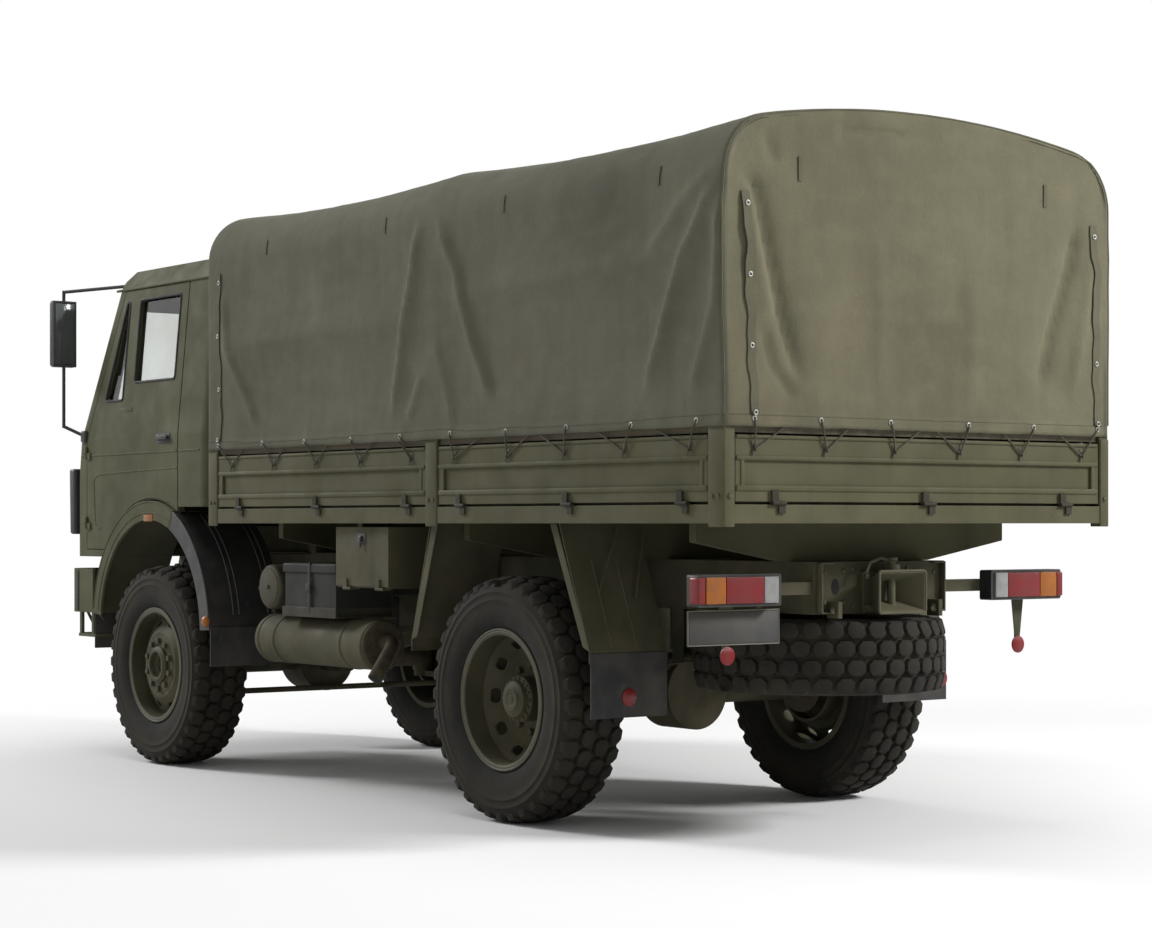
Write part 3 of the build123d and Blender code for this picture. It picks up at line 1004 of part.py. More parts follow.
# Cab floor: rear floor over the wheel arches, lower footwell, engine hump, arch flares and the tilt arms
flare_end = radians(ARCH_SPLIT)
with BuildPart() as cab_floor:
    block(CAB_BACK_X, DOOR_REAR_X - DOOR_REAR_GAP, -CAB_HALF, CAB_HALF, FLOOR_Z - FLOOR_PLATE, FLOOR_Z)
    fillet([edge for edge in cab_floor.edges().filter_by(Axis.Z) if edge.center().X < CAB_BACK_X + 1], 110)
    block(BULKHEAD_X, CAB_FRONT_X, -CAB_HALF, CAB_HALF, CAB_LOW_Z - 45, CAB_LOW_Z)
    fillet([edge for edge in cab_floor.edges().filter_by(Axis.Z) if edge.center().X > CAB_FRONT_X - 1], 110)
    block(DOOR_REAR_X - DOOR_REAR_GAP - 2, BULKHEAD_X + BULKHEAD_WALL, 60 - CAB_HALF, CAB_HALF - 60,
          FLOOR_Z - FLOOR_PLATE, FLOOR_Z)
    block(BULKHEAD_X, BULKHEAD_X + BULKHEAD_WALL, 60 - CAB_HALF, CAB_HALF - 60, CAB_LOW_Z - 45, FLOOR_Z)
    block(CAB_BACK_X + CAB_WALL, BULKHEAD_X + BULKHEAD_WALL, -HUMP_HALF, HUMP_HALF, FLOOR_Z - FLOOR_PLATE, HUMP_TOP_Z)
    with Locations(((CAB_BACK_X + BULKHEAD_X) / 2, 0, HUMP_TOP_Z - 30 - 500)):
        Box(BULKHEAD_X - CAB_BACK_X, 2 * HUMP_HALF - 60, 1000, mode=Mode.SUBTRACT)
    for inner, near in ((ARCH_OUTER - ARCH_SHEET, ARCH_HALF_IN), (ARCH_INNER, ARCH_HALF_OUT - ARCH_SHEET)):
        for side in (-1, 1):
            with BuildSketch(side_plane(side * near)):
                with Locations((FRONT_AXLE_X, ARCH_Z)):
                    Circle(ARCH_OUTER)
                    Circle(inner, mode=Mode.SUBTRACT)
                with BuildLine():
                    Polyline((FRONT_AXLE_X, ARCH_Z), (FRONT_AXLE_X + 1500, ARCH_Z + 150),
                             (FRONT_AXLE_X + 1500, ARCH_Z + 1500),
                             (FRONT_AXLE_X + 1500 * cos(flare_end), ARCH_Z + 1500 * sin(flare_end)),
                             close=True)
                make_face(mode=Mode.INTERSECT)
            extrude(amount=side * (near - ARCH_HALF_OUT))
    for side in (-1, 1):
        with BuildSketch(side_plane(side * PIVOT_Y + ARM_HALF)):
            with BuildLine():
                Polyline((PIVOT_X - 26, PIVOT_Z - 6), (PIVOT_X + 6, PIVOT_Z + 20), (PIVOT_X - 20, CAB_LOW_Z - 40),
                         (PIVOT_X - 120, CAB_LOW_Z - 40), close=True)
            make_face()
            with Locations((PIVOT_X, PIVOT_Z)):
                Circle(PIVOT_BOSS)
                Circle(PIVOT_RADIUS + RUNNING_GAP, mode=Mode.SUBTRACT)
        extrude(amount=2 * ARM_HALF)
write(cab_floor, "cab_floor")

# Grille: a slotted plate on the nose
with BuildPart() as grille:
    block(CAB_FRONT_X, CAB_FRONT_X + 12, -720, 720, 1440, 1800)
    for row in range(6):
        with Locations((CAB_FRONT_X, 0, 1475 + row * 58)):
            Box(60, 1340, 30, mode=Mode.SUBTRACT)
write(grille, "grille")

# Dashboard: a deep shelf under the screen, up against the nose panel
DASH_HALF = 1070
with BuildPart() as dashboard:
    with BuildSketch(side_plane(DASH_HALF)):
        with BuildLine():
            Polyline(*CAB_SIDE, close=True)
        make_face()
        offset(amount=-CAB_WALL, kind=Kind.INTERSECTION, mode=Mode.REPLACE)
        with Locations((CAB_FRONT_X - 135, 1985)):
            Rectangle(460, 200, mode=Mode.INTERSECT)
    extrude(amount=2 * DASH_HALF)
write(dashboard, "dashboard")

# Seats: the cushions and backs of a driver's seat and a double one
SEAT_PLACES = [(410, 950), (-1090, -410)]
SEAT_BACK_X = CAB_BACK_X + 184
with BuildPart() as seats:
    for seat_y0, seat_y1 in SEAT_PLACES:
        block(SEAT_BACK_X + 130, SEAT_BACK_X + 610, seat_y0, seat_y1, 1980, 2105)
        block(SEAT_BACK_X, SEAT_BACK_X + 115, seat_y0 + 10, seat_y1 - 10, 2040, 2720)
write(seats, "seats")

# Cab fittings: the steering column and the seat bases with their back frames
COLUMN_PLANE = Plane(origin=(STEER_WHEEL_X, STEER_WHEEL_Y, STEER_WHEEL_Z), x_dir=(0, 1, 0),
                     z_dir=(-sin(radians(COLUMN_TILT)), 0, cos(radians(COLUMN_TILT))))
with BuildPart() as cab_fittings:
    with BuildSketch(COLUMN_PLANE.offset(-900)):
        Circle(34)
    extrude(amount=870)
    with BuildSketch(COLUMN_PLANE.offset(-40)):
        Circle(14)
    extrude(amount=45)
    with Locations((STEER_WHEEL_X + 200, STEER_WHEEL_Y, FLOOR_Z - 500)):
        Box(1500, 400, 1000, mode=Mode.SUBTRACT)
    for seat_y0, seat_y1 in SEAT_PLACES:
        block(SEAT_BACK_X + 160, SEAT_BACK_X + 530, seat_y0 + 50, seat_y1 - 50, FLOOR_Z, 1980)
        block(SEAT_BACK_X - 28, SEAT_BACK_X, seat_y0 + 60, seat_y1 - 60, FLOOR_Z, 2680)
write(cab_fittings, "cab_fittings")

# Steering wheel: turns on the column's tip
with BuildPart() as steering_wheel:
    with Locations(COLUMN_PLANE.location):
        Torus(STEER_WHEEL_RADIUS, 16)
        Cylinder(48, 50)
        with PolarLocations(0, 3, start_angle=90):
            with Locations((STEER_WHEEL_RADIUS / 2, 0, 0)):
                Box(STEER_WHEEL_RADIUS, 34, 12)
    with BuildSketch(COLUMN_PLANE.offset(-30)):
        Circle(14 + RUNNING_GAP)
    extrude(amount=38, mode=Mode.SUBTRACT)
write(steering_wheel, "steering_wheel")

# Mirrors: a tall head on a tube pole carried off the pillar and the nose
POLE_X = CAB_FRONT_X - 55
with BuildPart() as mirrors:
    rod((POLE_X, 1300, 2150), (POLE_X, 1300, 3060), 11)
    rod((POLE_X, 1300, 3050), (POLE_X - 450, 1050, 3070), 11)
    rod((POLE_X, 1300, 2160), (POLE_X - 100, 1150, 2075), 11)
    block(POLE_X - 12, POLE_X + 22, 1215, 1380, 2555, 2990)
    add(cab_outer, mode=Mode.SUBTRACT)
    mirror(about=Plane.XZ)
write(mirrors, "mirrors")
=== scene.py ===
import math

import bpy
import numpy as np
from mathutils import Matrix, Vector, noise


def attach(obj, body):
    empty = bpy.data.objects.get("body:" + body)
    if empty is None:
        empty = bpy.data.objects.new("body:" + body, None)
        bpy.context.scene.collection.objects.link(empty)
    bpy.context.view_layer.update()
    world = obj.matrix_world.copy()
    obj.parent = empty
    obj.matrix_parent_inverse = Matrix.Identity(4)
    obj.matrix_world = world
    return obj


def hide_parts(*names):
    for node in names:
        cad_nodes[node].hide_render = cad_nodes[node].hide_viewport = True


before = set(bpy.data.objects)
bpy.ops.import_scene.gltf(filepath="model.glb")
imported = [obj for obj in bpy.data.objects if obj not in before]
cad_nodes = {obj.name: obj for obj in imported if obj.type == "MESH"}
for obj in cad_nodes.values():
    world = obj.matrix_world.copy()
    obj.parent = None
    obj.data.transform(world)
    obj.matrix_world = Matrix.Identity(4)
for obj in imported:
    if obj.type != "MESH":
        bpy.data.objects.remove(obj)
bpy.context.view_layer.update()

# Camera: stands level on the road behind the truck's left rear corner, about fifteen metres off, with a
# long lens. The frame is raised a little, so that the wheels and the top of the cover both fit.
VIEW_ALONG = (0.807, -0.591)
bpy.ops.object.camera_add(location=(-11.960, 8.302, 1.52),
                          rotation=(math.radians(90), 0, math.atan2(-VIEW_ALONG[0], VIEW_ALONG[1])))
camera = bpy.context.object
camera.name = "camera"
camera.data.lens = 77.7
camera.data.sensor_width = 36
camera.data.shift_y = 0.0512
camera.data.clip_end = 200
scene = bpy.context.scene
scene.camera = camera
scene.view_settings.view_transform = "Standard"

# Studio: a pale floor that fades to white, even light from all round, and two soft key lamps. One rakes
# along the left side from the front and one across the tail from the right, so that the folds show.
SKY_LEVEL = 0.25
LAMP_AIM = Vector((0, 0, 1.5))
FLOOR_RADIUS = 60
FLOOR_FADE = (3.0, 9.0)


def new_material(name):
    """A new material, with its node tree and its shader."""
    material = bpy.data.materials.new(name)
    material.use_nodes = True
    return material, material.node_tree, material.node_tree.nodes["Principled BSDF"]


def reckon(tree, operation, *values):
    """A sum done by a node, where each value is a number or another node's output."""
    sum_node = tree.nodes.new("ShaderNodeMath")
    sum_node.operation = operation
    for socket, value in zip(sum_node.inputs, values):
        if isinstance(value, (int, float)):
            socket.default_value = value
        else:
            tree.links.new(value, socket)
    return sum_node.outputs[0]


def ranged(tree, value, start, end, low=0.0, high=1.0, smooth=False):
    """A value that runs from low to high while the given one runs from start to end."""
    stretch = tree.nodes.new("ShaderNodeMapRange")
    if smooth:
        stretch.interpolation_type = "SMOOTHSTEP"
    for name, level in zip(("From Min", "From Max", "To Min", "To Max"), (start, end, low, high)):
        stretch.inputs[name].default_value = level
    tree.links.new(value, stretch.inputs["Value"])
    return stretch.outputs["Result"]


def shown(tree, share, first, second, output):
    """Shows the second shader over the first, as strongly as share says."""
    mix = tree.nodes.new("ShaderNodeMixShader")
    for socket, source in zip(mix.inputs, (share, first, second)):
        tree.links.new(source, socket)
    tree.links.new(mix.outputs[0], tree.nodes[output].inputs["Surface"])


def soft_lamp(name, place, size, watts):
    """A square studio lamp aimed at the middle of the truck."""
    aim = LAMP_AIM - Vector(place)
    bpy.ops.object.light_add(type="AREA", location=place, rotation=aim.to_track_quat("-Z", "Y").to_euler())
    lamp = bpy.context.object
    lamp.name = name
    lamp.data.size = size
    lamp.data.energy = watts


sky = bpy.data.worlds.new("sky")
scene.world = sky
sky.use_nodes = True
tree = sky.node_tree
sky_light = tree.nodes["Background"]
sky_light.inputs["Color"].default_value = (1, 1, 1, 1)
sky_light.inputs["Strength"].default_value = SKY_LEVEL
backdrop = tree.nodes.new("ShaderNodeBackground")
backdrop.inputs["Color"].default_value = (1, 1, 1, 1)
ray = tree.nodes.new("ShaderNodeLightPath").outputs
seen = reckon(tree, "MAXIMUM", ray["Is Camera Ray"], ray["Is Glossy Ray"])
seen = reckon(tree, "MAXIMUM", seen, ray["Is Transmission Ray"])
shown(tree, seen, sky_light.outputs[0], backdrop.outputs[0], "World Output")
soft_lamp("lamp_side", (16, 8.2, 11), 4.5, 2300)
soft_lamp("lamp_tail", (-10.5, -7.5, 8.0), 3, 1850)
soft_lamp("lamp_top", (0, 1, 13), 9, 480)
soft_lamp("lamp_fill", (-4, 14, 6), 8, 70)
bpy.ops.mesh.primitive_circle_add(vertices=96, radius=FLOOR_RADIUS, fill_type="NGON")
floor = bpy.context.object
floor.name = "floor"
floor_paper, tree, shader = new_material("floor_paper")
shader.inputs["Base Color"].default_value = (0.86, 0.86, 0.86, 1)
shader.inputs["Roughness"].default_value = 0.9
floor_place = tree.nodes.new("ShaderNodeTexCoord")
floor_reach = tree.nodes.new("ShaderNodeVectorMath")
floor_reach.operation = "LENGTH"
tree.links.new(floor_place.outputs["Object"], floor_reach.inputs[0])
floor_fade = ranged(tree, floor_reach.outputs["Value"], *FLOOR_FADE, smooth=True)
floor_white = tree.nodes.new("ShaderNodeEmission")
floor_white.inputs["Color"].default_value = (1, 1, 1, 1)
shown(tree, floor_fade, shader.outputs[0], floor_white.outputs[0], "Material Output")
floor.data.materials.append(floor_paper)

# Ladder frame: two pressed channel rails with riveted crossmembers, brush-painted matt olive and dulled by
# road dirt. The axles, springs, steering and drive line share its paint.
OLIVE = (0.068, 0.066, 0.033)
DULL_OLIVE = (0.044, 0.043, 0.024)
ROAD_DUST = (0.105, 0.087, 0.056)
RUBBED_PAINT = (0.150, 0.145, 0.102)
CHIPPED_PAINT = (0.050, 0.036, 0.026)
SHEET_WAVE_SCALE = 2.2


def mottle(tree, scale, low, high, stretch=(1, 1, 1), detail=5):
    """Patchiness over a piece, 0 to 1: noise of this scale, hardened between low and high."""
    place = tree.nodes.new("ShaderNodeTexCoord")
    pull = tree.nodes.new("ShaderNodeMapping")
    pull.inputs["Scale"].default_value = stretch
    cloud = tree.nodes.new("ShaderNodeTexNoise")
    cloud.inputs["Scale"].default_value = scale
    cloud.inputs["Detail"].default_value = detail
    tree.links.new(place.outputs["Object"], pull.inputs["Vector"])
    tree.links.new(pull.outputs["Vector"], cloud.inputs["Vector"])
    return ranged(tree, cloud.outputs["Fac"], low, high)


def coat(tree, under, over, cover):
    """Lays the colour over on the colour under, as thickly as cover says."""
    mix = tree.nodes.new("ShaderNodeMix")
    mix.data_type = "RGBA"
    for socket, colour in ((mix.inputs[6], under), (mix.inputs[7], over)):
        if isinstance(colour, tuple):
            socket.default_value = (*colour, 1)
        else:
            tree.links.new(colour, socket)
    tree.links.new(cover, mix.inputs[0])
    return mix.outputs[2]


def tint(colour, factor, lift=0.0):
    """A colour made darker or paler."""
    return tuple(factor * part + lift for part in colour)


def times(tree, first, second):
    """The product of two patchiness values, or of one and a number."""
    return reckon(tree, "MULTIPLY", first, second)


def rubbed_edges(tree, radius):
    """1 along sharp edges and 0 on flats, with the rounded normal that a real edge has."""
    rounding = tree.nodes.new("ShaderNodeBevel")
    rounding.samples = 4
    rounding.inputs["Radius"].default_value = radius
    flat = tree.nodes.new("ShaderNodeNewGeometry")
    lean = tree.nodes.new("ShaderNodeVectorMath")
    lean.operation = "DOT_PRODUCT"
    tree.links.new(rounding.outputs["Normal"], lean.inputs[0])
    tree.links.new(flat.outputs["True Normal"], lean.inputs[1])
    return ranged(tree, lean.outputs["Value"], 0.995, 0.80), rounding.outputs["Normal"]


def own_axis(tree, axis):
    """How far along an axis a point lies, in the piece's own coordinates."""
    place = tree.nodes.new("ShaderNodeTexCoord")
    axes = tree.nodes.new("ShaderNodeSeparateXYZ")
    tree.links.new(place.outputs["Object"], axes.inputs[0])
    return axes.outputs[axis]


def bumped(tree, height, distance, strength=1.0, normal=None):
    """The normal of a surface with this relief."""
    bump = tree.nodes.new("ShaderNodeBump")
    bump.inputs["Distance"].default_value = distance
    bump.inputs["Strength"].default_value = strength
    tree.links.new(height, bump.inputs["Height"])
    if normal is not None:
        tree.links.new(normal, bump.inputs["Normal"])
    return bump.outputs["Normal"]


def dented(tree, normal, fine_scale, fine_depth, broad_depth=0.0):
    """The bump of a surface: fine grain, and slow waves in the sheet where broad_depth is given."""
    for scale, depth in ((fine_scale, fine_depth), (SHEET_WAVE_SCALE, broad_depth)):
        if depth:
            normal = bumped(tree, mottle(tree, scale, 0.2, 0.8), depth, 0.6, normal)
    return normal


def painted_steel(name, colour=OLIVE, dust=0.3, wear=0.6, rough=0.68):
    """Matt military paint: uneven shade, rain streaks, dust low down, rubbed edges, and fine chips."""
    paint, tree, shader = new_material(name)
    shade = coat(tree, tint(colour, 0.80), tint(colour, 1.22), mottle(tree, 1.7, 0.30, 0.72))
    streaks = times(tree, mottle(tree, 9, 0.50, 0.85, stretch=(1, 1, 0.12)), 0.45)
    shade = coat(tree, shade, tint(colour, 0.62), streaks)
    near_road = times(tree, ranged(tree, own_axis(tree, "Z"), 2.1, 0.5), dust * 1.6)
    grime = times(tree, mottle(tree, 3.4, 0.42, 0.75, detail=9), near_road)
    shade = coat(tree, shade, ROAD_DUST, grime)
    edges, rounded = rubbed_edges(tree, 0.007)
    rubbed = times(tree, edges, times(tree, mottle(tree, 22, 0.40, 0.62), wear))
    shade = coat(tree, shade, RUBBED_PAINT, rubbed)
    chips = times(tree, mottle(tree, 46, 0.670, 0.695, detail=3), mottle(tree, 2.6, 0.50, 0.58))
    shade = coat(tree, shade, CHIPPED_PAINT, times(tree, chips, wear))
    tree.links.new(shade, shader.inputs["Base Color"])
    gloss = ranged(tree, mottle(tree, 6, 0.3, 0.7), 0, 1, rough - 0.08, rough + 0.14)
    tree.links.new(gloss, shader.inputs["Roughness"])
    shader.inputs["Specular IOR Level"].default_value = 0.20
    tree.links.new(dented(tree, rounded, 160, 0.0006, 0.004), shader.inputs["Normal"])
    return paint


def finish_node(node, material):
    """Gives a CAD piece its finish."""
    cad_nodes[node].data.materials.clear()
    cad_nodes[node].data.materials.append(material)


frame_paint = painted_steel("frame_paint", DULL_OLIVE, dust=0.7, wear=0.3, rough=0.74)
for node in ("ladder_frame", "leaf_springs", "front_axle", "rear_axle", "knuckle_left", "knuckle_right",
             "tie_rod", "powertrain"):
    finish_node(node, frame_paint)

# Tyres: five cross-country tyres of moulded rubber. Each has ringed side walls, wide shoulder blocks and
# two staggered rows of six-sided blocks between them, all grey-brown with dried mud.
TYRE_RADIUS = 0.625
TREAD_PITCHES = 36
BLOCK_FOOT = 0.572
BLOCK_TOP = 0.6
BLOCK_DRAFT = 0.95
WALL_LINE = [(0.344, 0.140), (0.362, 0.1445), (0.372, 0.153), (0.396, 0.165), (0.430, 0.176),
             (0.468, 0.1815), (0.500, 0.1815), (0.503, 0.1835), (0.508, 0.1835), (0.511, 0.181),
             (0.540, 0.1795), (0.543, 0.1815), (0.548, 0.1812), (0.551, 0.178), (0.574, 0.1725),
             (0.588, 0.163), (0.596, 0.148), (0.599, 0.100)]


def settle(piece, name):
    """Names a new piece and applies its place, so that the object itself sits at the origin."""
    bpy.ops.object.select_all(action="DESELECT")
    piece.select_set(True)
    bpy.context.view_layer.objects.active = piece
    bpy.ops.object.transform_apply(location=True, rotation=True, scale=True)
    piece.name = name
    piece.data.name = name
    return piece


def drawn_line(path):
    """A new piece that is one line of edges through the points, left in edit mode."""
    bpy.ops.object.select_all(action="DESELECT")
    bpy.ops.mesh.primitive_plane_add(size=1)
    piece = bpy.context.object
    bpy.ops.object.mode_set(mode="EDIT")
    bpy.ops.mesh.select_mode(type="VERT")
    bpy.ops.mesh.merge(type="CENTER")
    bpy.ops.transform.translate(value=path[0])
    for before, after in zip(path, path[1:]):
        step = tuple(end - start for start, end in zip(before, after))
        bpy.ops.mesh.extrude_region_move(TRANSFORM_OT_translate={"value": step})
    return piece


def face_outwards():
    """Turns all faces of the piece in edit mode outwards, and leaves edit mode."""
    bpy.ops.mesh.select_all(action="SELECT")
    bpy.ops.mesh.normals_make_consistent(inside=False)
    bpy.ops.object.mode_set(mode="OBJECT")


def turned(name, line, steps=72):
    """A body turned about the Y axis from a line of (radius, y) points, in metres."""
    piece = drawn_line([(radius, y, 0) for radius, y in line])
    bpy.ops.mesh.select_all(action="SELECT")
    bpy.ops.mesh.spin(steps=steps, angle=math.tau, center=(0, 0, 0), axis=(0, 1, 0))
    bpy.ops.mesh.select_all(action="SELECT")
    bpy.ops.mesh.remove_doubles(threshold=0.00002)
    face_outwards()
    bpy.ops.object.shade_smooth_by_angle(angle=math.radians(38))
    return settle(piece, name)


def pick_edges(piece, wanted):
    """Selects the edges whose two ends pass the test, and leaves the piece in edit mode."""
    bpy.ops.object.mode_set(mode="EDIT")
    bpy.ops.mesh.select_mode(type="EDGE")
    bpy.ops.mesh.select_all(action="DESELECT")
    bpy.ops.object.mode_set(mode="OBJECT")
    corners = piece.data.vertices
    for edge in piece.data.edges:
        edge.select = wanted(corners[edge.vertices[0]].co, corners[edge.vertices[1]].co)
    bpy.ops.object.mode_set(mode="EDIT")


def block(name, low, high, radius=0.0, segments=2):
    """A block between two corners, with every edge rounded over by the radius."""
    low, high = Vector(low), Vector(high)
    bpy.ops.object.select_all(action="DESELECT")
    bpy.ops.mesh.primitive_cube_add(size=1, location=(low + high) / 2)
    piece = bpy.context.object
    piece.scale = high - low
    settle(piece, name)
    if radius:
        bpy.ops.object.mode_set(mode="EDIT")
        bpy.ops.mesh.select_all(action="SELECT")
        bpy.ops.mesh.bevel(offset=radius, segments=segments, affect="EDGES")
        bpy.ops.object.mode_set(mode="OBJECT")
        bpy.ops.object.shade_smooth_by_angle(angle=math.radians(40))
    return piece


def joined(pieces, name):
    """Several pieces made one."""
    bpy.ops.object.select_all(action="DESELECT")
    for piece in pieces:
        piece.select_set(True)
    bpy.context.view_layer.objects.active = pieces[0]
    if len(pieces) > 1:
        bpy.ops.object.join()
    return settle(bpy.context.view_layer.objects.active, name)


def copied(piece, name):
    """A copy with its own mesh."""
    twin = piece.copy()
    twin.data = piece.data.copy()
    scene.collection.objects.link(twin)
    twin.name = name
    twin.data.name = name
    return twin


def tread_block(across, y_low, y_high, turn, lean):
    """One rubber block on top of the wheel: six-sided in plan, drafted, its top edges rounded."""
    top = TYRE_RADIUS - 0.0006
    piece = block("tread_block", (-across / 2, y_low, BLOCK_FOOT), (across / 2, y_high, top))
    pick_edges(piece, lambda a, b: abs(a.z - b.z) > 0.02)
    bpy.ops.mesh.bevel(offset=0.021, segments=1, affect="EDGES")
    bpy.ops.object.mode_set(mode="OBJECT")
    middle_y = (y_low + y_high) / 2
    for corner in piece.data.vertices:
        if corner.co.z > BLOCK_TOP:
            corner.co.x *= BLOCK_DRAFT
            corner.co.y = middle_y + (corner.co.y - middle_y) * BLOCK_DRAFT
            if lean and abs(corner.co.y) > 0.140:
                corner.co.z -= 0.016
                corner.co.y *= 0.985
        corner.co.x += lean * 0.10 * (corner.co.y - middle_y)
    pick_edges(piece, lambda a, b: min(a.z, b.z) > BLOCK_TOP)
    bpy.ops.mesh.bevel(offset=0.0045, segments=2, affect="EDGES")
    bpy.ops.mesh.select_all(action="SELECT")
    bpy.ops.transform.rotate(value=-turn, orient_axis="Y", center_override=(0, 0, 0))
    bpy.ops.object.mode_set(mode="OBJECT")
    return piece


half_pitch = math.pi / TREAD_PITCHES
tread = joined([
    tread_block(0.090, 0.094, 0.1745, 0, 1),
    tread_block(0.094, 0.007, 0.085, half_pitch, 0),
    tread_block(0.094, -0.085, -0.007, 0, 0),
    tread_block(0.090, -0.1745, -0.094, half_pitch, -1)], "tread")
bpy.ops.object.mode_set(mode="EDIT")
bpy.ops.mesh.select_all(action="SELECT")
bpy.ops.mesh.spin(steps=TREAD_PITCHES, dupli=True, angle=math.tau, center=(0, 0, 0), axis=(0, 1, 0))
bpy.ops.object.mode_set(mode="OBJECT")
carcass = turned("carcass", WALL_LINE + [(r, -y) for r, y in reversed(WALL_LINE)], steps=96)
tyre = joined([tread, carcass], "tyre")
bpy.ops.object.shade_smooth_by_angle(angle=math.radians(38))
muddy = tyre.data.attributes.new("muddy", "FLOAT", "POINT")
for corner in tyre.data.vertices:
    reach = math.hypot(corner.co.x, corner.co.z)
    wall = max(0.0, 1 - abs(reach - 0.500) / 0.105)
    groove = 1.0 if reach < 0.606 and abs(corner.co.y) < 0.160 and reach > 0.58 else 0.0
    muddy.data[corner.index].value = max(0.75 * wall, groove, 0.42 if reach > 0.585 else 0.0)

rubber, tree, shader = new_material("tyre_rubber")
mud_place = tree.nodes.new("ShaderNodeAttribute")
mud_place.attribute_name = "muddy"
shade = coat(tree, (0.010, 0.010, 0.009), (0.020, 0.019, 0.016), mottle(tree, 5, 0.3, 0.7))
mud_cover = times(tree, mud_place.outputs["Fac"], mottle(tree, 6.5, 0.30, 0.68, detail=8))
shade = coat(tree, shade, (0.038, 0.031, 0.018), mud_cover)
shade = coat(tree, shade, (0.034, 0.031, 0.024), times(tree, mottle(tree, 40, 0.52, 0.75), 0.35))
tree.links.new(shade, shader.inputs["Base Color"])
shader.inputs["Roughness"].default_value = 0.86
shader.inputs["Specular IOR Level"].default_value = 0.2
tree.links.new(dented(tree, None, 90, 0.0012), shader.inputs["Normal"])
tyre.data.materials.append(rubber)

AXLES = {"front_left": (2.266, 1.020), "front_right": (2.266, -1.020),
         "rear_left": (-1.584, 1.020), "rear_right": (-1.584, -1.020)}
for corner_name, (axle_x, wheel_y) in AXLES.items():
    fitted = copied(tyre, f"road_tyre_{corner_name}")
    fitted.location = (axle_x, wheel_y, TYRE_RADIUS)
    fitted.rotation_euler = (0, 0, 0 if wheel_y > 0 else math.pi)
    settle(fitted, f"road_tyre_{corner_name}")
    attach(fitted, f"wheel_{corner_name}")
    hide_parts(f"tyre_{corner_name}")
spare = tyre
spare.rotation_euler = (math.radians(-90), 0, 0)
spare.location = (-2.674, 0, 0.876)
settle(spare, "road_tyre_spare")
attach(spare, "chassis")
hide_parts("spare_tyre")

# Wheels: pressed steel disc wheels with a locked side ring, painted dark olive and worn bright on the
# lip. The rear hubs are planetary ones, and each closes with a cap held by a ring of small bolts.
LOCK_RING = [(0.334, 0.1545), (0.338, 0.1575), (0.346, 0.1580), (0.349, 0.1562), (0.354, 0.1600),
             (0.361, 0.1590), (0.3625, 0.1540)]
HUB_FLANGE = [(0.090, 0.052), (0.096, 0.0565), (0.117, 0.0480), (0.1195, 0.0440), (0.1195, 0.0330)]
HUB_BOSS = [(0.060, 0.0915), (0.058, 0.0965), (0.036, 0.0975), (0.034, 0.0955), (0.020, 0.0955),
            (0.018, 0.0985), (0.0, 0.0985)]
HUB_BOLTS = 18
BOLT_CIRCLE = 0.1065
HUB_LIP = [(0.080, 0.146), (0.083, 0.1535), (0.097, 0.1535), (0.1015, 0.1480)]
NUT_RING = [(0.1285, 0.1185), (0.1305, 0.1225), (0.1755, 0.1225), (0.1775, 0.1185)]
SHAFT_END = [(0.048, 0.098), (0.045, 0.104), (0.016, 0.106), (0.0, 0.106)]
VALVE_Y = {"front": 0.075, "rear": 0.035}


def fasten(piece, body, material):
    """Finishes a new piece and fixes it to the body that it moves with."""
    piece.data.materials.append(material)
    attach(piece, body)
    return piece


def stud(name, place, along, radius, height, sides=24, ease=0.15):
    """A round or many-sided head standing on a point, its far rim eased over."""
    along = Vector(along).normalized()
    bpy.ops.object.select_all(action="DESELECT")
    bpy.ops.mesh.primitive_cylinder_add(vertices=sides, radius=radius, depth=height,
                                        location=Vector(place) + along * height / 2,
                                        rotation=along.to_track_quat("Z", "Y").to_euler())
    piece = settle(bpy.context.object, name)
    rim = piece.modifiers.new("eased", "BEVEL")
    rim.width = ease * min(radius, height)
    rim.segments = 2
    bpy.ops.object.modifier_apply(modifier="eased")
    bpy.ops.object.shade_smooth_by_angle(angle=math.radians(40))
    return piece


def placed(piece, place, turn=(0, 0, 0)):
    """Turns a piece and moves it into place."""
    piece.rotation_euler = turn
    piece.location = place
    return settle(piece, piece.name)


wheel_paint = painted_steel("wheel_paint", (0.050, 0.050, 0.027), dust=0.45, wear=0.9, rough=0.66)
lip_steel = painted_steel("lip_steel", (0.074, 0.072, 0.046), dust=0.3, wear=0.5, rough=0.5)
for node in ("rim_front_left", "rim_front_right", "rim_rear_left", "rim_rear_right", "spare_rim"):
    finish_node(node, wheel_paint)
for corner_name, (axle_x, wheel_y) in AXLES.items():
    body = f"wheel_{corner_name}"
    side_turn = (0, 0, 0 if wheel_y > 0 else math.pi)
    middle = (axle_x, wheel_y, TYRE_RADIUS)
    fasten(placed(turned(f"lock_ring_{corner_name}", LOCK_RING), middle, side_turn), body, lip_steel)
    if "rear" in corner_name:
        cap = [turned("hub_flange", HUB_FLANGE), turned("hub_boss", HUB_BOSS)]
        for bolt in range(HUB_BOLTS):
            angle = math.tau * bolt / HUB_BOLTS
            seat = (BOLT_CIRCLE * math.cos(angle), 0.049, BOLT_CIRCLE * math.sin(angle))
            cap.append(stud("hub_bolt", seat, (0, 1, 0), 0.0078, 0.012, sides=6))
    else:
        cap = [turned("hub_lip", HUB_LIP), turned("nut_ring", NUT_RING), turned("shaft_end", SHAFT_END)]
    fasten(placed(joined(cap, f"hub_cap_{corner_name}"), middle, side_turn), body, wheel_paint)
    valve_y = VALVE_Y[corner_name.split("_")[0]]
    valve = stud(f"valve_{corner_name}", (0, valve_y, 0.300), (0.15, 1, 0.35), 0.0055, 0.055, sides=12)
    fasten(placed(valve, middle, side_turn), body, lip_steel)

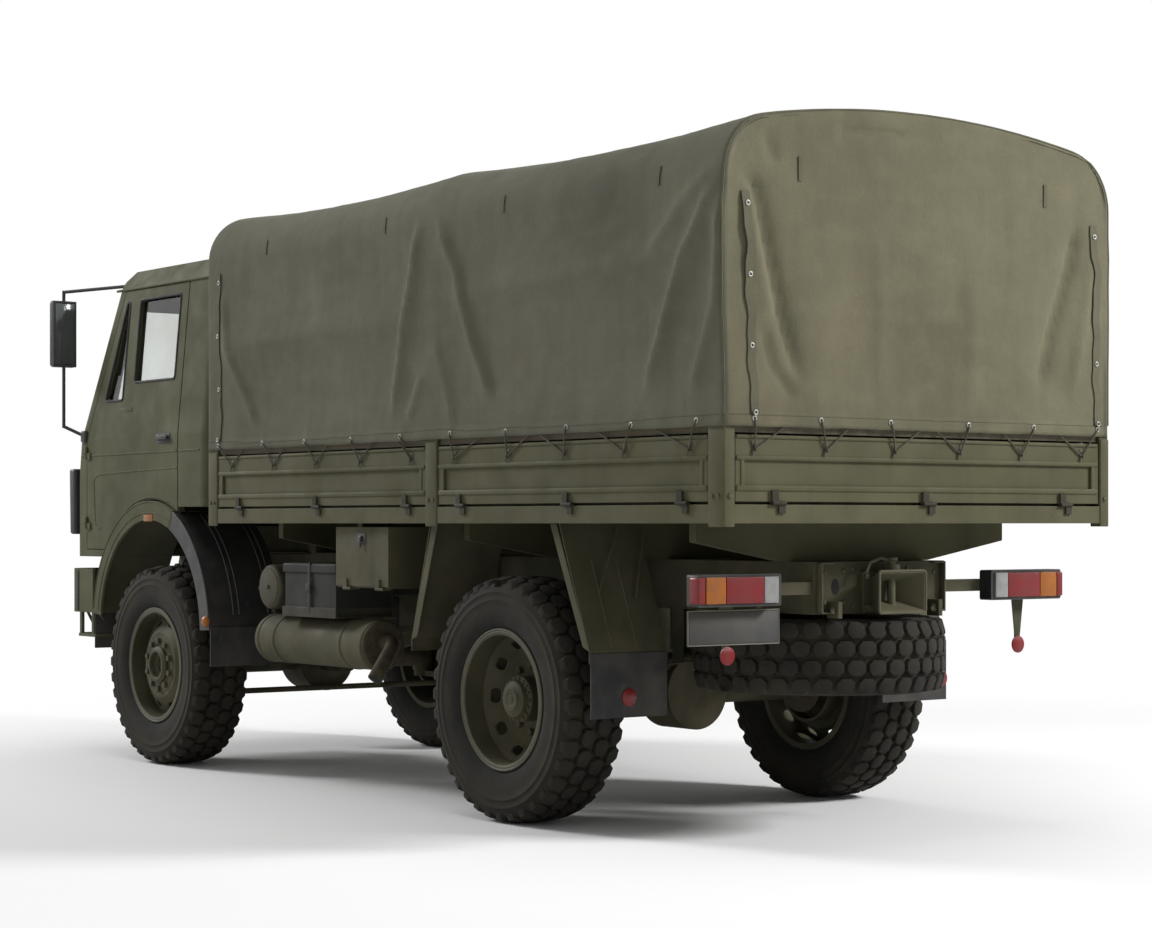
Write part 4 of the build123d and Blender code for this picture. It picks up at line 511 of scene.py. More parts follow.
# Slung under the bed: the fuel tank, muffler, air drum, battery box and tool locker, all of painted sheet
# steel. The exhaust is scorched and rusted towards its outlet, and the battery's case is dark plastic
# under a strap.
BAND_LINE = [(0.138, -0.016), (0.1425, -0.016), (0.1445, -0.012), (0.1445, 0.012), (0.1425, 0.016),
             (0.138, 0.016)]
FILLER_LINE = [(0.062, -0.030), (0.062, 0.0), (0.072, 0.002), (0.072, 0.030), (0.064, 0.036), (0.0, 0.036)]
TANK_STRAPS = {"strap_side": ((-1.1735, 0.815), (-1.1695, 1.155)),
               "strap_over": ((-1.095, 1.2295), (-0.725, 1.2335)),
               "strap_under": ((-1.095, 0.7365), (-0.725, 0.7405))}
STRAP_HALF = 0.025


def top_coat(paint, colour, cover):
    """Lays one more colour over all that a finished material already shows."""
    tree = paint.node_tree
    colour_in = tree.nodes["Principled BSDF"].inputs["Base Color"]
    tree.links.new(coat(tree, colour_in.links[0].from_socket, colour, cover(tree)), colour_in)
    return paint


def moulded(name, colour, rough=0.55, dust=0.35, grain=0.0007):
    """Moulded plastic or rubber: nearly even in colour, finely grained, scuffed and dusty low down."""
    mould, tree, shader = new_material(name)
    shade = coat(tree, tint(colour, 0.82), tint(colour, 1.25), mottle(tree, 3.1, 0.3, 0.7, detail=8))
    scuffs = times(tree, mottle(tree, 30, 0.58, 0.74, stretch=(1, 1, 0.3)), 0.30)
    shade = coat(tree, shade, tint(colour, 1.2, 0.045), scuffs)
    near_road = times(tree, ranged(tree, own_axis(tree, "Z"), 2.0, 0.5), dust)
    grime = times(tree, mottle(tree, 4.2, 0.42, 0.74, detail=9), near_road)
    shade = coat(tree, shade, (0.105, 0.092, 0.066), grime)
    edges, rounded = rubbed_edges(tree, 0.004)
    shade = coat(tree, shade, tint(colour, 1.3, 0.05), times(tree, edges, 0.45))
    tree.links.new(shade, shader.inputs["Base Color"])
    gloss = ranged(tree, mottle(tree, 9, 0.3, 0.7), 0, 1, rough - 0.06, rough + 0.16)
    tree.links.new(gloss, shader.inputs["Roughness"])
    shader.inputs["Specular IOR Level"].default_value = 0.4
    tree.links.new(dented(tree, rounded, 320, grain), shader.inputs["Normal"])
    return mould


under_paint = painted_steel("under_paint", (0.060, 0.059, 0.033), dust=0.8, wear=0.5, rough=0.68)
for node in ("fuel_tank", "tool_locker", "locker_lid", "lamp_brackets", "tow_jaw", "rear_mudguards"):
    finish_node(node, under_paint)
drum_paint = painted_steel("drum_paint", (0.040, 0.039, 0.024), dust=0.6, wear=0.5, rough=0.6)
finish_node("air_drum", drum_paint)
exhaust = painted_steel("scorched_paint", (0.074, 0.071, 0.042), dust=0.5, wear=0.4, rough=0.7)
top_coat(exhaust, (0.034, 0.023, 0.015),
         lambda tree: times(tree, ranged(tree, own_axis(tree, "X"), -0.10, -0.24),
                            mottle(tree, 18, 0.25, 0.60)))
top_coat(exhaust, (0.085, 0.055, 0.034),
         lambda tree: times(tree, mottle(tree, 5, 0.52, 0.72, detail=9), 0.30))
finish_node("muffler", exhaust)
battery_finish = painted_steel("battery_finish", (0.036, 0.035, 0.023), dust=0.5, wear=0.4)
top_coat(battery_finish, (0.022, 0.022, 0.020),
         lambda tree: ranged(tree, own_axis(tree, "Z"), 1.0395, 1.0405))
finish_node("battery_box", battery_finish)
black_plastic = moulded("black_plastic", (0.014, 0.014, 0.0145), rough=0.48)
black_rubber = moulded("black_rubber", (0.016, 0.016, 0.016), rough=0.72, dust=0.5, grain=0.0010)
bands = []
for band_x in (-0.150, 0.075, 0.825, 1.010):
    band = turned("muffler_band", BAND_LINE, steps=48)
    bands.append(placed(band, (band_x, 1.000, 0.838), (0, 0, math.radians(90))))
bands.append(stud("drain_plug", (1.048, 1.000, 0.800), (1, 0, 0), 0.013, 0.030, sides=6))
fasten(joined(bands, "muffler_bands"), "chassis", exhaust)
# Near-black for openings: real soot in the exhaust outlet. It is also painted shade there, in the oval
# windows of the rail ends and in the eyelet holes, each a flat dark disc standing for the shade inside.
soot_and_painted_shade = moulded("soot_and_painted_shade", (0.006, 0.006, 0.006), rough=0.9, dust=0.0)
outlet_along = Vector((-0.030, 0.150, -0.195)).normalized()
outlet_end = Vector((-0.330, 1.150, 0.663)) - outlet_along * 0.002
fasten(stud("exhaust_outlet", outlet_end, outlet_along, 0.037, 0.003), "chassis", soot_and_painted_shade)
drum_fittings = [stud("drum_plate", (0.850, 1.149, 1.146), (0, 1, 0), 0.108, 0.004, sides=48),
                 stud("drum_plug", (0.850, 1.152, 1.146), (0, 1, 0), 0.013, 0.014, sides=6),
                 stud("drum_drain", (0.850, 1.110, 1.021), (0, 0.3, -1), 0.012, 0.022, sides=6),
                 stud("drum_union", (0.930, 1.120, 1.135), (1, 0.6, 0), 0.011, 0.050, sides=12)]
fasten(joined(drum_fittings, "drum_fittings"), "chassis", drum_paint)
strap_pieces = [block("strap_front", (0.335, 1.1675, 1.010), (0.365, 1.1715, 1.2935), 0.0015),
                block("strap_top", (0.335, 0.800, 1.2895), (0.365, 1.1710, 1.2935), 0.0015),
                block("strap_buckle", (0.325, 1.1690, 1.130), (0.375, 1.1790, 1.175), 0.003)]
fasten(joined(strap_pieces, "battery_strap"), "chassis", black_rubber)
latch = [block("latch_plate", (-0.320, 1.1985, 1.405), (-0.230, 1.2030, 1.465), 0.0018),
         stud("latch_boss", (-0.275, 1.2025, 1.435), (0, 1, 0), 0.016, 0.010),
         block("latch_bar", (-0.285, 1.2110, 1.385), (-0.265, 1.2180, 1.445), 0.003)]
fasten(joined(latch, "locker_latch"), "locker_lid", black_plastic)
tank_fittings = []
for strap_x in (-0.230, 0.590):
    for name, (low, high) in TANK_STRAPS.items():
        strap = block(name, (strap_x - STRAP_HALF, *low), (strap_x + STRAP_HALF, *high), 0.0015)
        tank_fittings.append(strap)
filler = turned("filler", FILLER_LINE)
tank_fittings.append(placed(filler, (0.500, -0.930, 1.252), (math.radians(90), 0, 0)))
fasten(joined(tank_fittings, "tank_fittings"), "chassis", under_paint)

# Front mudguards and the flaps: black moulded plastic behind each front wheel, stiffened by two pairs of
# thin pressed ridges, and sheet rubber below. An amber marker is let into the foot of each guard.
ARCH_X = 2.266
ARCH_Z = 0.850
ARCH_OUT = 0.810
LENS_COLOURS = {"amber_lens": (0.36, 0.110, 0.010), "red_lens": (0.205, 0.012, 0.012),
                "clear_lens": (0.31, 0.31, 0.30)}
MARKER_LINE = [(0.034, 0.0), (0.034, 0.008), (0.031, 0.018), (0.022, 0.026), (0.010, 0.030), (0.0, 0.031)]


def tube(name, path, radius, rings=3):
    """A bar, pipe or rope of round section along a path of points."""
    piece = drawn_line(path)
    bpy.ops.object.mode_set(mode="OBJECT")
    bpy.ops.object.convert(target="CURVE")
    piece.data.bevel_depth = radius
    piece.data.bevel_resolution = rings
    piece.data.use_fill_caps = True
    bpy.ops.object.convert(target="MESH")
    bpy.ops.object.shade_smooth_by_angle(angle=math.radians(50))
    return settle(piece, name)


def mirrored(piece, name):
    """The same piece for the other side of the truck."""
    twin = copied(piece, name)
    twin.scale = (1, -1, 1)
    settle(twin, name)
    bpy.ops.object.mode_set(mode="EDIT")
    face_outwards()
    return twin


def pair(piece, body, material, other_body=None):
    """Fixes a piece on the left and its mirror image on the right."""
    other = mirrored(piece, f"{piece.name}_right")
    fasten(other, other_body or body, material)
    fasten(piece, body, material)


def arch_point(reach, degrees, y):
    """A point round the front wheel arch."""
    turn = math.radians(degrees)
    return (ARCH_X + reach * math.cos(turn), y, ARCH_Z + reach * math.sin(turn))


def fluted(tree, scale):
    """Moulded flutes across a lens, 0 to 1."""
    flutes = tree.nodes.new("ShaderNodeTexWave")
    flutes.bands_direction = "Y"
    flutes.inputs["Scale"].default_value = scale
    place = tree.nodes.new("ShaderNodeTexCoord")
    tree.links.new(place.outputs["Object"], flutes.inputs["Vector"])
    return flutes.outputs["Fac"]


finish_node("front_mudguards", black_plastic)
finish_node("mud_flaps", black_rubber)
# The pressed ridges are a paler grey than the black guard they are pressed in: a painted highlight on their
# crests.
ridge_painted_highlight = moulded("ridge_painted_highlight", (0.040, 0.040, 0.039), rough=0.45)
ridges = [tube("guard_ridge", [arch_point(ARCH_OUT, turn, y) for turn in range(117, 173, 5)], 0.0050, 2)
          for y in (1.052, 1.012, 0.812, 0.772)]
pair(joined(ridges, "guard_ridges"), "chassis", ridge_painted_highlight)
edge_path = [arch_point(ARCH_OUT - 0.004, turn, 1.221) for turn in range(115, 178, 4)]
pair(tube("guard_edge", edge_path, 0.0060, 2), "chassis", black_plastic)
lenses = {}
for name, colour in LENS_COLOURS.items():
    lenses[name], tree, shader = new_material(name)
    flutes = fluted(tree, 55)
    shade = coat(tree, tint(colour, 0.70), colour, flutes)
    stains = times(tree, mottle(tree, 16, 0.45, 0.75), 0.7)
    shade = coat(tree, shade, tint(colour, 0.45, 0.02), stains)
    tree.links.new(shade, shader.inputs["Base Color"])
    shader.inputs["Roughness"].default_value = 0.30
    shader.inputs["Specular IOR Level"].default_value = 0.30
    tree.links.new(bumped(tree, flutes, 0.0015, 0.5), shader.inputs["Normal"])
amber_lens = lenses["amber_lens"]
red_lens = lenses["red_lens"]
marker = turned("side_marker", MARKER_LINE, steps=36)
pair(placed(marker, (1.490, 1.220, 0.925)), "chassis", amber_lens)
arch_reflector = block("arch_reflector", (2.205, 1.219, 1.530), (2.325, 1.228, 1.572), 0.0035)
pair(arch_reflector, "cab", amber_lens)
spat = block("front_spat", (3.058, 0.780, 0.700), (3.068, 1.212, 0.940), 0.004)
pair(spat, "cab", black_rubber)

# Tail: two lamp clusters on arms from the frame, with coloured lenses in black housings, and a bare plate
# under the left one. Round reflectors hang below and on the flaps, and the tow jaw is bolted on between
# the riveted rail ends.
HOUSING_FACE_X = -3.184
LENS_ROWS = [(1.030, 1.150, "amber_lens"), (0.800, 1.030, "red_lens"), (0.712, 0.800, "clear_lens")]
REFLECTOR_LINE = [(0.043, 0.0), (0.043, 0.006), (0.039, 0.0085), (0.036, 0.0085), (0.034, 0.0100),
                  (0.0, 0.0112)]
REFLECTORS = {"arm_left": (-3.104, 0.952, 0.905), "arm_right": (-3.104, -0.960, 0.905),
              "flap_left": (-2.367, 0.958, 0.673), "flap_right": (-2.367, -1.145, 0.688)}
ARM_FOOT_Z = 0.905
ARM_RISE = 0.283
PLATE_EDGE = ((0.642, 0.957), (1.188, 0.957), (1.188, 1.116), (0.642, 1.116), (0.642, 0.957))
JAW_LEVER = ((0.0, 1.335), (0.070, 1.352), (0.140, 1.330), (0.165, 1.280))
JAW_RIM = ((0.153, 1.100), (0.153, 1.280), (0.140, 1.291), (-0.140, 1.291), (-0.153, 1.280),
           (-0.153, 1.100), (-0.140, 1.089), (0.140, 1.089), (0.153, 1.100))
STRUT_PATHS = [[(-2.150, 0.860, 1.510), (-2.272, 1.061, 1.194)],
               [(-2.150, 0.690, 1.510), (-2.275, 0.846, 1.151)],
               [(-0.930, 0.900, 1.510), (-0.846, 1.080, 1.180)]]
finish_node("tail_lamps", black_plastic)
for y_low, y_high, lens in LENS_ROWS:
    glass_block = block(f"{lens}_tail", (HOUSING_FACE_X - 0.012, y_low + 0.0012, 1.149),
                        (HOUSING_FACE_X + 0.004, y_high - 0.0012, 1.272), 0.0045)
    pair(glass_block, "chassis", lenses[lens])
end_lens = block("red_lens_end", (HOUSING_FACE_X - 0.012, 1.1512, 1.149),
                 (HOUSING_FACE_X + 0.058, 1.1955, 1.272), 0.008, 3)
pair(end_lens, "chassis", red_lens)
for name, place in REFLECTORS.items():
    reflector = turned(f"reflector_{name}", REFLECTOR_LINE, steps=36)
    fasten(placed(reflector, place, (0, 0, math.radians(90))), "chassis", red_lens)
arm_plate = block("lamp_arm", (-3.1065, 0.918, ARM_FOOT_Z), (-3.1005, 0.990, 1.188), 0.0022)
for corner in arm_plate.data.vertices:
    share = (corner.co.z - ARM_FOOT_Z) / ARM_RISE
    corner.co.y = 0.958 + (corner.co.y - 0.954) * (0.35 + 1.0 * share)
pair(arm_plate, "chassis", under_paint)
plate_grey = painted_steel("plate_grey", (0.060, 0.060, 0.058), dust=0.25, wear=0.2, rough=0.55)
plate_edge = painted_steel("plate_edge", (0.20, 0.195, 0.170), dust=0.2, wear=0.3, rough=0.5)
number_plate = block("number_plate", (-3.1125, 0.647, 0.962), (-3.1095, 1.183, 1.111), 0.0012)
fasten(number_plate, "chassis", plate_grey)
plate_border = tube("plate_border", [(-3.1105, y, z) for y, z in PLATE_EDGE], 0.0032, 2)
fasten(plate_border, "chassis", plate_edge)
rail_end = [block("rail_end_web", (-3.152, 0.398, 1.088), (-3.112, 0.408, 1.332), 0.003),
            block("rail_end_top", (-3.152, 0.330, 1.324), (-3.112, 0.408, 1.333), 0.003),
            block("rail_end_foot", (-3.152, 0.330, 1.087), (-3.112, 0.408, 1.096), 0.003)]
for y, z in ((0.240, 1.290), (0.240, 1.140), (0.180, 1.300), (0.180, 1.120), (0.360, 1.280), (0.360, 1.140)):
    rail_end.append(stud("rail_rivet", (-3.1135, y, z), (-1, 0, 0), 0.010, 0.008, ease=0.6))
pair(joined(rail_end, "rail_end"), "chassis", under_paint)
# A flat near-black oval on each rail end stands for the opening in it: painted shade.
oval = stud("rail_window_painted_shade", (-3.1125, 0.290, 1.215), (-1, 0, 0), 0.026, 0.0025, sides=32)
for corner in oval.data.vertices:
    corner.co.z = 1.215 + 1.5 * (corner.co.z - 1.215)
pair(oval, "chassis", soot_and_painted_shade)
jaw_trim = [stud("jaw_bolt", (-3.137, y, z), (-1, 0, 0), 0.015, 0.012, sides=6)
            for y in (-0.112, 0.112) for z in (1.115, 1.265)]
jaw_trim += [stud("pin_head", (-3.194, 0.0, 1.338), (0, 0, 1), 0.030, 0.016),
             tube("jaw_lever", [(-3.194, y, z) for y, z in JAW_LEVER], 0.009),
             tube("jaw_rim", [(-3.273, y, z) for y, z in JAW_RIM], 0.0065)]
fasten(joined(jaw_trim, "jaw_trim"), "chassis", under_paint)
struts = [tube("guard_strut", path, 0.0065) for path in STRUT_PATHS]
for share in (0.34, 0.72):
    rib_y = 0.760 + share * 0.40
    struts.append(tube("guard_rib", [(-2.180, rib_y, 1.345), (-2.352, rib_y, 0.917)], 0.0055, 2))
pair(joined(struts, "guard_struts"), "chassis", under_paint)

# Load bed: a plank floor in a steel frame, with pressed steel drop sides and a tailgate between stakes,
# hinged along the foot on dark hinges. The stakes are bolted to the rail at their feet.
BED_SIDE_Y = 1.2504
BED_END_X = -3.4444
BOARD_BAYS = {"rear": (-3.323, -1.119), "front": (-0.989, 1.285)}
BOARD_ROLLS = [(1.236, 1.2530, 1.662, 1.690), (1.236, 1.2530, 1.800, 1.824), (1.240, 1.2510, 1.897, 1.917)]
GATE_SHIFT = 2.194
bed_paint = painted_steel("bed_paint", OLIVE, dust=0.25, wear=0.75)


def proud_of_bed(tree):
    """1 on the hinges, which stand out beyond the sides and the end of the bed, and 0 on the rest."""
    beside = reckon(tree, "GREATER_THAN", reckon(tree, "ABSOLUTE", own_axis(tree, "Y")), BED_SIDE_Y)
    behind = reckon(tree, "LESS_THAN", own_axis(tree, "X"), BED_END_X)
    return reckon(tree, "MAXIMUM", beside, behind)


hinged_paint = painted_steel("hinged_paint", OLIVE, dust=0.25, wear=0.75)
top_coat(hinged_paint, (0.030, 0.026, 0.018), proud_of_bed)
for node in ("bed_frame", "bed_posts", "side_board_rear_left", "side_board_rear_right",
             "side_board_front_left", "side_board_front_right", "tailgate"):
    finish_node(node, hinged_paint)
finish_node("canopy_bows", frame_paint)
wood, tree, shader = new_material("bed_wood")
grain = mottle(tree, 18, 0.3, 0.7, stretch=(0.08, 1, 1), detail=8)
shade = coat(tree, (0.060, 0.050, 0.030), (0.100, 0.085, 0.054), grain)
cracks = times(tree, mottle(tree, 60, 0.55, 0.75, stretch=(0.03, 1, 1)), 0.7)
shade = coat(tree, shade, (0.030, 0.025, 0.017), cracks)
tree.links.new(shade, shader.inputs["Base Color"])
shader.inputs["Roughness"].default_value = 0.85
tree.links.new(dented(tree, None, 70, 0.0012), shader.inputs["Normal"])
finish_node("bed_floor", wood)
finish_node("side_slats", wood)
tail_slat = block("tail_slat", (-3.428, -1.185, 1.925), (-3.403, 1.185, 2.046), 0.004)
fasten(tail_slat, "chassis", wood)
floor_edges = [block("floor_edge", (-3.330, 1.190, 1.600), (1.290, 1.207, 1.622), 0.002),
               block("floor_end", (-3.404, 0.0, 1.600), (-3.390, 1.180, 1.622), 0.002)]
pair(joined(floor_edges, "floor_edges"), "chassis", frame_paint)
for bay, (x_low, x_high) in BOARD_BAYS.items():
    rolls = [block("board_roll", (x_low, y_low, z_low), (x_high, y_high, z_high), 0.0075, 3)
             for y_low, y_high, z_low, z_high in BOARD_ROLLS]
    for x in (x_low + 0.040, x_high - 0.040):
        rolls.append(block("board_rib", (x - 0.012, 1.234, 1.672), (x + 0.012, 1.2505, 1.816), 0.006))
    pair(joined(rolls, f"board_press_{bay}"), f"side_board_{bay}_left", bed_paint, f"side_board_{bay}_right")
gate_rolls = [block("gate_roll", (-y_high - GATE_SHIFT, -1.181, z_low), (-y_low - GATE_SHIFT, 1.181, z_high),
                    0.0075, 3)
              for y_low, y_high, z_low, z_high in BOARD_ROLLS]
for y in (-1.143, 1.143):
    gate_rolls.append(block("gate_rib", (-3.4445, y - 0.012, 1.672), (-3.428, y + 0.012, 1.816), 0.006))
fasten(joined(gate_rolls, "gate_press"), "tailgate", bed_paint)
stake_faces = [block("stake_face", (x + 0.003, 1.2440, 1.502), (x + 0.109, 1.2545, 1.938), 0.004)
               for x in (-3.444, -1.110, 1.294)]
stake_faces.append(block("corner_face", (-3.4490, 1.193, 1.502), (-3.4380, 1.2535, 1.938), 0.004))
pair(joined(stake_faces, "stake_faces"), "chassis", bed_paint)
stake_bolts = []
for post_x in (-3.388, -1.054, 1.350):
    for x, z in ((post_x - 0.022, 1.640), (post_x + 0.022, 1.640)):
        stake_bolts.append(stud("stake_bolt", (x, 1.2540, z), (0, 1, 0), 0.011, 0.007, sides=6))
stake_bolts += [stud("corner_bolt", (-3.4485, 1.222, 1.640), (-1, 0, 0), 0.013, 0.007, sides=6)]
pair(joined(stake_bolts, "stake_bolts"), "chassis", bed_paint)

# Canvas cover: one sheet of proofed cotton duck drawn over three bows, with its two ends sewn in. It sags
# between the bows, and the slack hangs in folds from the middle bow and the rear corners to a doubled hem.
COVER_HALF = 1.258
COVER_REAR_X = -3.452
COVER_FRONT_X = 1.414
HEM_Z = 1.953
HEM_BAND_Z = 2.006
EAVE_Z = 3.080
EAVE_RADIUS = 0.290
EAVE_TURN = math.radians(80)
RIM_ROUND = 0.026
BOW_MIDDLES = (-3.420, -1.054, 1.382)
CLOTH_THICK = 0.003
SIDE_EYELETS = (1.262, 0.738, 0.253, -0.258, -0.770, -1.252, -1.751, -2.260, -2.775, -3.262)
TAIL_EYELETS = (1.084, 0.689, 0.252, -0.259, -0.705, -1.164)
# Each fold: the line that it follows, x and z on a side or y and z on an end, then its height and how far it
# spreads to either hand of the line, in metres.
SIDE_FOLDS = [
    ([(-0.985, 3.16), (-0.937, 3.032), (-0.810, 2.605), (-0.660, 2.040)], 0.017, 0.030, 0.085),
    ([(-0.986, 2.310), (-0.830, 2.050)], 0.011, 0.022, 0.055),
    ([(-1.080, 3.16), (-1.130, 3.102), (-1.308, 2.808), (-1.446, 2.425), (-1.640, 2.070)],
     0.014, 0.075, 0.030),
    ([(-1.101, 2.500), (-1.270, 2.030)], 0.006, 0.050, 0.025),
    ([(-3.440, 3.110), (-3.176, 2.732), (-3.030, 2.457), (-2.840, 2.060)], 0.020, 0.032, 0.090),
    ([(-3.445, 3.020), (-3.390, 2.491), (-3.190, 2.060)], 0.012, 0.030, 0.060),
    ([(1.260, 2.960), (1.225, 2.895), (1.150, 2.534), (0.800, 2.050)], 0.011, 0.070, 0.030),
    ([(-3.435, 3.140), (-3.120, 2.960), (-2.858, 2.728)], 0.010, 0.035, 0.080),
]
TAIL_FOLDS = [
    ([(1.183, 3.150), (1.066, 3.030), (0.995, 2.779), (0.912, 2.464), (0.785, 2.120)], -0.020, 0.042, 0.042),
    ([(1.110, 3.060), (1.075, 2.779), (0.985, 2.420)], 0.010, 0.040, 0.040),
    ([(1.031, 2.440), (0.966, 2.227), (0.820, 2.070)], -0.012, 0.030, 0.030),
    ([(1.031, 3.310), (0.945, 3.150)], -0.010, 0.032, 0.032),
    ([(-1.040, 3.060), (-0.961, 2.770), (-0.832, 2.452), (-0.745, 2.130)], -0.018, 0.036, 0.036),
    ([(-1.130, 2.900), (-1.060, 2.500), (-0.960, 2.120)], 0.009, 0.040, 0.040),
    ([(0.620, 3.316), (0.130, 3.350)], -0.008, 0.018, 0.018),
    ([(0.350, 2.950), (0.300, 2.500), (0.330, 2.080)], 0.005, 0.060, 0.060),
    ([(-0.250, 2.800), (-0.300, 2.400), (-0.270, 2.060)], 0.005, 0.070, 0.070),
]
SWAGS = [((0.30, 2.579), (-0.72, 2.592), -1.054, 1.382), ((-1.41, 2.690), (-2.90, 2.735), -3.420, -1.054)]
FOLD_GAIN = 2.2
FOLD_SPREAD = 0.78


def fold_lift(across, up, folds, share=1.0):
    """How far folds lift the cloth: a ridge or valley along each line, fading at its two ends."""
    lift = np.zeros_like(across)
    for line, height, near, far in folds:
        best = np.full_like(across, 1e9)
        offset = np.zeros_like(across)
        along = np.zeros_like(across)
        lengths = [math.dist(a, b) for a, b in zip(line, line[1:])]
        passed = 0.0
        for (a, b), length in zip(zip(line, line[1:]), lengths):
            run = ((b[0] - a[0]) / length, (b[1] - a[1]) / length)
            walk = np.clip((across - a[0]) * run[0] + (up - a[1]) * run[1], 0, length)
            gap_a, gap_u = across - a[0] - walk * run[0], up - a[1] - walk * run[1]
            gap = np.hypot(gap_a, gap_u)
            nearer = gap < best
            best = np.where(nearer, gap, best)
            offset = np.where(nearer, run[0] * gap_u - run[1] * gap_a, offset)
            along = np.where(nearer, (passed + walk) / sum(lengths), along)
            passed += length
        spread = FOLD_SPREAD * np.where(offset > 0, near, far)
        fade = np.clip(np.minimum(along / 0.16, (1 - along) / 0.14), 0, 1)
        crest = np.sqrt(best ** 2 + 0.00008) - 0.0089
        lift += share * FOLD_GAIN * height * fade ** 1.5 * np.exp(-crest / spread)
    return lift


def cloth_waves(places, stretch, height):
    """Slow unevenness in hanging cloth, from noise drawn out along its length."""
    return np.array([noise.fractal(Vector((x * stretch[0], y * stretch[1], z * stretch[2])), 0.9, 2.1, 4)
                     for x, y, z in places]) * height


# Half of the arched section, from the left hem up to the ridge, as y and z.
arch_y = COVER_HALF - EAVE_RADIUS
roof_radius = arch_y / math.cos(EAVE_TURN) + EAVE_RADIUS
roof_middle_z = EAVE_Z - arch_y * math.tan(EAVE_TURN)
hem_heights = (HEM_Z, HEM_Z + 0.018, HEM_Z + 0.036, HEM_BAND_Z - 0.0012, HEM_BAND_Z + 0.0012)
half_section = [(COVER_HALF, z) for z in hem_heights]
half_section += [(COVER_HALF, z) for z in np.linspace(HEM_BAND_Z + 0.020, EAVE_Z, 50)]
half_section += [(arch_y + EAVE_RADIUS * math.cos(a), EAVE_Z + EAVE_RADIUS * math.sin(a))
                 for a in np.linspace(0, EAVE_TURN, 13)[1:]]
half_section += [(roof_radius * math.cos(a), roof_middle_z + roof_radius * math.sin(a))
                 for a in np.linspace(EAVE_TURN, math.pi / 2, 23)[1:]]
section = half_section + [(-y, z) for y, z in half_section[-2::-1]]
ridge = len(half_section) - 1
rim_steps = [0.0, 0.003, 0.008, 0.016, RIM_ROUND]
stations = [COVER_REAR_X + d for d in rim_steps]
stations += list(np.linspace(COVER_REAR_X + 0.045, COVER_FRONT_X - 0.045, 180))
stations += [COVER_FRONT_X - d for d in rim_steps[::-1]]
tail_columns = 88


def rim_drop(reach):
    """How far the cloth turns in at this distance from a sewn rim."""
    short = np.clip(RIM_ROUND - reach, 0, RIM_ROUND)
    return RIM_ROUND - np.sqrt(RIM_ROUND ** 2 - short ** 2)


# The wall and roof, bow to bow.
wall = np.array([(x, y, z) for x in stations for y, z in section])
outward = np.zeros((len(section), 3))
for place, (y, z) in enumerate(section):
    if z <= EAVE_Z:
        outward[place] = (0, math.copysign(1, y), 0)
    elif math.atan2(z - EAVE_Z, abs(y) - arch_y) < EAVE_TURN:
        outward[place] = (0, math.copysign(abs(y) - arch_y, y) / EAVE_RADIUS, (z - EAVE_Z) / EAVE_RADIUS)
    else:
        outward[place] = (0, y / roof_radius, (z - roof_middle_z) / roof_radius)
outward = np.tile(outward, (len(stations), 1))
wall_x, wall_y, wall_z = wall.T
roofness = np.clip(outward[:, 2], 0, 1)
sideness = 1 - roofness
lift = np.zeros(len(wall))
for bow_a, bow_b in zip(BOW_MIDDLES, BOW_MIDDLES[1:]):
    across_bay = np.clip((wall_x - bow_a) / (bow_b - bow_a), 0, 1)
    hang = 4 * across_bay * (1 - across_bay)
    lift -= hang * (0.040 * roofness + 0.006 * sideness)
for (x_a, z_a), (x_b, z_b), bow_a, bow_b in SWAGS:
    swag_z = z_a + (wall_x - x_a) / (x_b - x_a) * (z_b - z_a)
    window = np.clip(np.minimum((wall_x - bow_a) / 0.55, (bow_b - wall_x) / 0.55), 0, 1) ** 1.3
    above = np.sqrt((wall_z - swag_z) ** 2 + 0.0003) - 0.0173
    hollow = np.where(wall_z > swag_z, 0.046 * (1 - np.exp(-above / 0.16)),
                      0.026 * (1 - np.exp(-above / 0.10)))
    below_eave = np.clip((EAVE_Z + 0.12 - wall_z) / 0.35, 0, 1)
    above_hem = np.clip((wall_z - HEM_Z) / 0.25, 0, 1)
    lift -= window * hollow * below_eave * above_hem
left_lift = fold_lift(wall_x, wall_z, SIDE_FOLDS)
right_lift = fold_lift(wall_x - 0.06, wall_z, SIDE_FOLDS, 0.8)
lift += np.where(wall_y > 0, left_lift, right_lift) * sideness
lift += cloth_waves(wall, (2.4, 1.1, 0.9), 0.0075) * (0.35 + 0.65 * sideness)
lift += cloth_waves(wall + 7.3, (8.5, 3.0, 3.2), 0.0016)
for eyelet_x in SIDE_EYELETS:
    lift += 0.006 * np.exp(-((wall_x - eyelet_x) / 0.035) ** 2 - (wall_z - HEM_Z) / 0.14)
lift += np.where(wall_z < HEM_BAND_Z, 0.0022, 0.0)
for bow_x in BOW_MIDDLES:
    allowed = 0.0015 + 0.12 * np.clip(np.abs(wall_x - bow_x) - 0.035, 0, None)
    lift = np.maximum(lift, -allowed)
lift = np.where(wall_z < 1.99, np.maximum(lift, -0.002), lift)
lift -= rim_drop(np.minimum(wall_x - COVER_REAR_X, COVER_FRONT_X - wall_x))
wall += outward * lift[:, None]
low_edge = wall_z < HEM_Z + 0.001
wall[:, 2] += np.where(low_edge, cloth_waves(wall * (1, 0, 0), (3.1, 0, 0), 0.004), 0)


